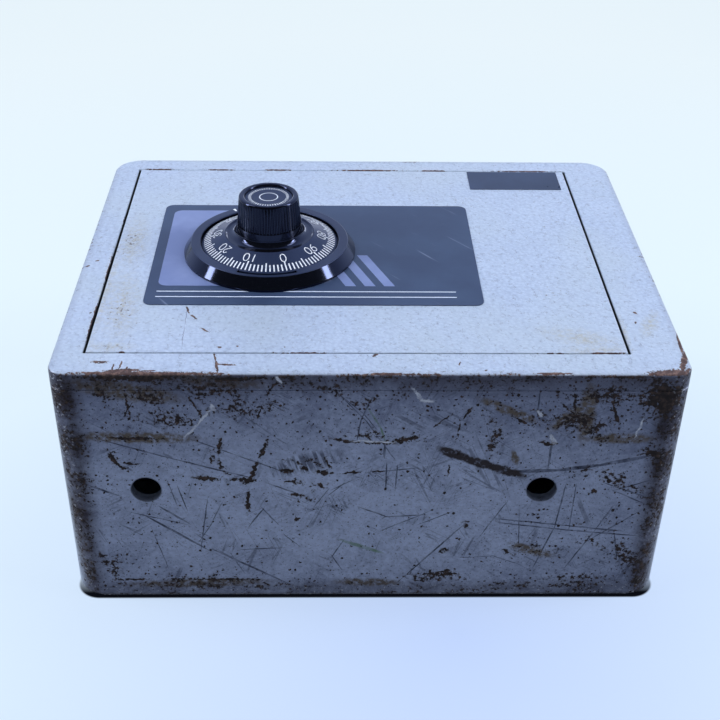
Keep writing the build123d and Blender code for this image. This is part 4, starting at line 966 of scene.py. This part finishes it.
def modelPatch(corners, corner, lean, name):
    (x0, z0), (x1, z1) = corners
    y = labelLow[1]
    clearSelection()
    bpy.ops.mesh.primitive_plane_add(size=1, rotation=(pi / 2, 0, 0),
                                     location=(labelLow[0] + (x0 + x1) / 2 * mm, y, labelLow[2] + (z0 + z1) / 2 * mm))
    patch = bpy.context.object
    patch.scale = ((x1 - x0) * mm, (z1 - z0) * mm, 1)
    settle(patch)
    if lean:
        middle = labelLow[2] + (z0 + z1) / 2 * mm
        pick(patch, "VERT", lambda vertex: vertex.co.z < middle)
        bpy.ops.transform.translate(value=(lean * mm, 0, 0))
        bpy.ops.object.mode_set(mode="OBJECT")
    if corner:
        pick(patch, "VERT", lambda vertex: True)
        bpy.ops.mesh.bevel(offset=corner * mm, segments=8, affect="VERTICES")
        bpy.ops.object.mode_set(mode="OBJECT")
    thick = patch.modifiers.new("thick", "SOLIDIFY")
    thick.thickness = 2 * labelPrint["thick"]
    thick.offset = 0
    bpy.ops.object.modifier_apply(modifier=thick.name)
    patch.name = name
    return patch


def modelLabelPrint():
    panel = labelPrint["panel"]
    piece = modelPatch([(panel["left"], panel["foot"]), (panel["right"], panel["head"])], panel["corner"], 0,
                       "label_panel")
    finishPiece(piece, "door", lavenderMaterial)
    bars = labelPrint["bars"]
    slats = [modelPatch([(x, bars["foot"]), (x + bars["width"], bars["head"])], 0, bars["lean"], "bar")
             for x in bars["left"]]
    finishPiece(joined(slats, "label_bars"), "door", lavenderMaterial)
    rules = labelPrint["rules"]
    half = rules["width"] / 2
    lines = [modelPatch([(rules["left"], z - half), (rules["right"], z + half)], 0, 0, "rule")
             for z in rules["heights"]]
    finishPiece(joined(lines, "label_rules"), "door", inkMaterial)


modelLabelPrint()
print("label printed")


# Camera: the photograph's place, with the safe seen from below and in front of its door

viewpoint = {
    "place": (-20.27 * mm, -427.56 * mm, -532.77 * mm),
    "turn": (147.2365, 1.0079, -0.7816),   # degrees
    "lens": 63.104,
    "sensor": 36.0,
}


def addCamera():
    data = bpy.data.cameras.new("camera")
    data.lens = viewpoint["lens"]
    data.sensor_width = viewpoint["sensor"]
    data.clip_start = 0.01
    camera = bpy.data.objects.new("camera", data)
    camera.location = viewpoint["place"]
    camera.rotation_euler = [radians(angle) for angle in viewpoint["turn"]]
    bpy.context.collection.objects.link(camera)
    bpy.context.scene.camera = camera


# Backdrop: the pale sheet that the safe's back lies against, and a pale floor under its base.
# Both show only their front, and neither throws a shadow or light on the safe, so the contact shadow where they touch
# is painted into their material as a dark line

# near is a painted soft shadow round the safe, fading to middle and far
# the dark contact colour is a painted contact shadow where the safe touches the sheets
backdrop = {"near": "#C4D8FE", "middle": "#E4F5FF", "far": "#EDF9FF", "centre": (50, -30), "reach": 3.0,
            "shown": 0.82, "mirrored": 0.42, "floor": "#D5E4FC", "floorMirrored": 0.05,
            "contactShadow": "#0B0D14", "bend": 13 * mm, "foot": 9 * mm}


def paperMaterial(name, tones, mirrored, low, high):
    # pale paper, a little darker round the safe as a painted soft shadow
    material = bpy.data.materials.new(name)
    material.use_nodes = True
    tree = material.node_tree
    tree.nodes.clear()
    output = tree.nodes.new("ShaderNodeOutputMaterial")
    place = addNode(tree, "TexCoord", out=3)
    x, z = backdrop["centre"]
    away = distance(tree, place, (x * mm, 0, z * mm), (1, 0, 1))
    colour = tones[0]
    for tone, start, end in zip(tones[1:], (0.0, 0.36), (0.36, 1.0)):
        step = addNode(tree, "MapRange", {"Value": away, "From Min": start, "From Max": end})
        colour = addNode(tree, "Mix", {0: step, 6: colour, 7: tone})

    # painted contact shadow, dark where the cabinet touches the sheet: off is measured from its rounded outline's inner
    # corners
    bend = backdrop["bend"]
    middle = tuple((a + b) / 2 for a, b in zip(low, high))
    inner = tuple((b - a) / 2 - bend for a, b in zip(low, high))
    off = addNode(tree, "VectorMath", {0: place, 1: middle}, operation="SUBTRACT")
    off = addNode(tree, "VectorMath", {0: off}, operation="ABSOLUTE")
    off = addNode(tree, "VectorMath", {0: off, 1: inner}, operation="SUBTRACT")
    off = addNode(tree, "VectorMath", {0: off, 1: (0, 0, 0)}, operation="MAXIMUM")
    off = addNode(tree, "VectorMath", {0: off}, out=1, operation="LENGTH")
    dark = addNode(tree, "MapRange", {"Value": off, "From Min": bend + 0.9 * mm, "From Max": bend - 0.2 * mm})
    height = addNode(tree, "SeparateXYZ", {0: place}, out=2)
    height = addNode(tree, "MapRange", {"Value": height, "From Min": 26 * mm, "From Max": 4 * mm})
    dark = addNode(tree, "Math", {0: dark, 1: height}, operation="MULTIPLY")
    colour = addNode(tree, "Mix", {0: dark, 6: colour, 7: backdrop["contactShadow"]})
    lit = addNode(tree, "BsdfDiffuse", {"Color": colour})
    glossy = addNode(tree, "LightPath", out=3)
    seen = addNode(tree, "LightPath")
    share = addNode(tree, "Math", {0: seen, 1: backdrop["shown"], 2: glossy}, operation="MULTIPLY_ADD")
    level = addNode(tree, "MapRange", {"Value": glossy, "To Min": 1.0, "To Max": mirrored})
    own = addNode(tree, "Emission", {"Color": colour, "Strength": level})
    paper = addNode(tree, "MixShader", {0: share, 1: lit, 2: own})
    behind = addNode(tree, "NewGeometry", out=6)
    clear = addNode(tree, "BsdfTransparent")
    sheet = addNode(tree, "MixShader", {0: behind, 1: paper, 2: clear})
    tree.links.new(sheet, output.inputs["Surface"])
    return material


def addSheet(name, corners, material):
    mesh = bpy.data.meshes.new(name)
    mesh.from_pydata(corners, [], [(0, 1, 2, 3)])
    sheet = bpy.data.objects.new(name, mesh)
    bpy.context.collection.objects.link(sheet)
    sheet.data.materials.append(material)
    sheet.visible_shadow = False
    sheet.visible_diffuse = False
    return sheet


def addBackdrop():
    r = backdrop["reach"]
    y = cadBox[1][1] + 0.2 * mm
    z = cadBox[0][2] - 0.2 * mm
    low, high = cadBox
    foot = backdrop["foot"]
    wall = paperMaterial("backdrop_sheet", [backdrop["near"], backdrop["middle"], backdrop["far"]],
                         backdrop["mirrored"], (low[0], -r, low[2]), (high[0], r, high[2]))
    addSheet("backdrop", [(-r, y, -r), (r, y, -r), (r, y, r), (-r, y, r)], wall)
    floor = paperMaterial("floor_sheet", [backdrop["floor"], backdrop["floor"]], backdrop["floorMirrored"],
                          (low[0] + foot, doorFace, -r), (high[0] - foot, high[1], r))
    addSheet("floor", [(-r, -r, z), (r, -r, z), (r, r, z), (-r, r, z)], floor)


# Lights: two soft boxes before the door, a strip at each side, softer ones above and behind

softboxes = {
    "keyLeft": {"place": (-1.15, -1.20, 0.0), "aim": (0, -0.05, 0.10), "size": (0.9, 0.9), "power": 12.0},
    "keyRight": {"place": (1.15, -1.20, 0.0), "aim": (0, -0.05, 0.10), "size": (0.9, 0.9), "power": 12.0},
    "left": {"place": (-0.92, -0.42, 0.06), "aim": (-0.057, -0.08, 0.13), "size": (0.40, 0.13), "power": 3.0},
    "right": {"place": (0.84, -0.43, 0.06), "aim": (-0.057, -0.08, 0.13), "size": (0.40, 0.13), "power": 3.0},
    "above": {"place": (0.0, 0.35, 1.70), "aim": (0, 0.05, 0.2), "size": (1.5, 1.5), "power": 13.0},
    "behind": {"place": (-0.4, 1.80, 0.70), "aim": (0, 0, 0.15), "size": (1.5, 1.2), "power": 13.0},
}
lightTone = "#F2F6FF"
ambient = {"shown": "#EAF6FF", "fill": "#E2ECFF", "mirrored": "#BED2FF", "strength": 0.36, "below": 0.03,
           "above": 0.95}


def addLights():
    for name, box in softboxes.items():
        data = bpy.data.lights.new(name, "AREA")
        data.shape = "RECTANGLE"
        data.size, data.size_y = box["size"]
        data.energy = box["power"]
        data.color = hexToLinear(lightTone)[:3]
        light = bpy.data.objects.new(name, data)
        light.location = box["place"]
        aim = Vector(box["aim"]) - Vector(box["place"])
        light.rotation_euler = aim.to_track_quat("-Z", "Y").to_euler()
        bpy.context.collection.objects.link(light)


def addWorld():
    world = bpy.data.worlds.new("studio")
    bpy.context.scene.world = world
    world.use_nodes = True
    tree = world.node_tree
    tree.nodes.clear()
    output = tree.nodes.new("ShaderNodeOutputWorld")
    glossy = addNode(tree, "LightPath", out=3)
    seen = addNode(tree, "Math", {0: addNode(tree, "LightPath"), 1: addNode(tree, "LightPath", out=6)},
                   operation="MAXIMUM")
    height = addNode(tree, "SeparateXYZ", {0: addNode(tree, "TexCoord")}, out=2)
    mirrored = addNode(tree, "MapRange", {"Value": height, "From Min": -0.3, "From Max": 0.5,
                                          "To Min": ambient["below"], "To Max": ambient["above"]})
    strength = addNode(tree, "Mix", {0: glossy, 2: ambient["strength"], 3: mirrored}, data_type="FLOAT")
    strength = addNode(tree, "Mix", {0: seen, 2: strength, 3: 1.0}, data_type="FLOAT")
    colour = addNode(tree, "Mix", {0: glossy, 6: ambient["fill"], 7: ambient["mirrored"]})
    colour = addNode(tree, "Mix", {0: seen, 6: colour, 7: ambient["shown"]})
    sky = addNode(tree, "Background", {"Color": colour, "Strength": strength})
    tree.links.new(sky, output.inputs["Surface"])


addCamera()
addBackdrop()
addLights()
addWorld()
bpy.context.scene.view_settings.view_transform = "Standard"
print("camera, backdrop and lights")
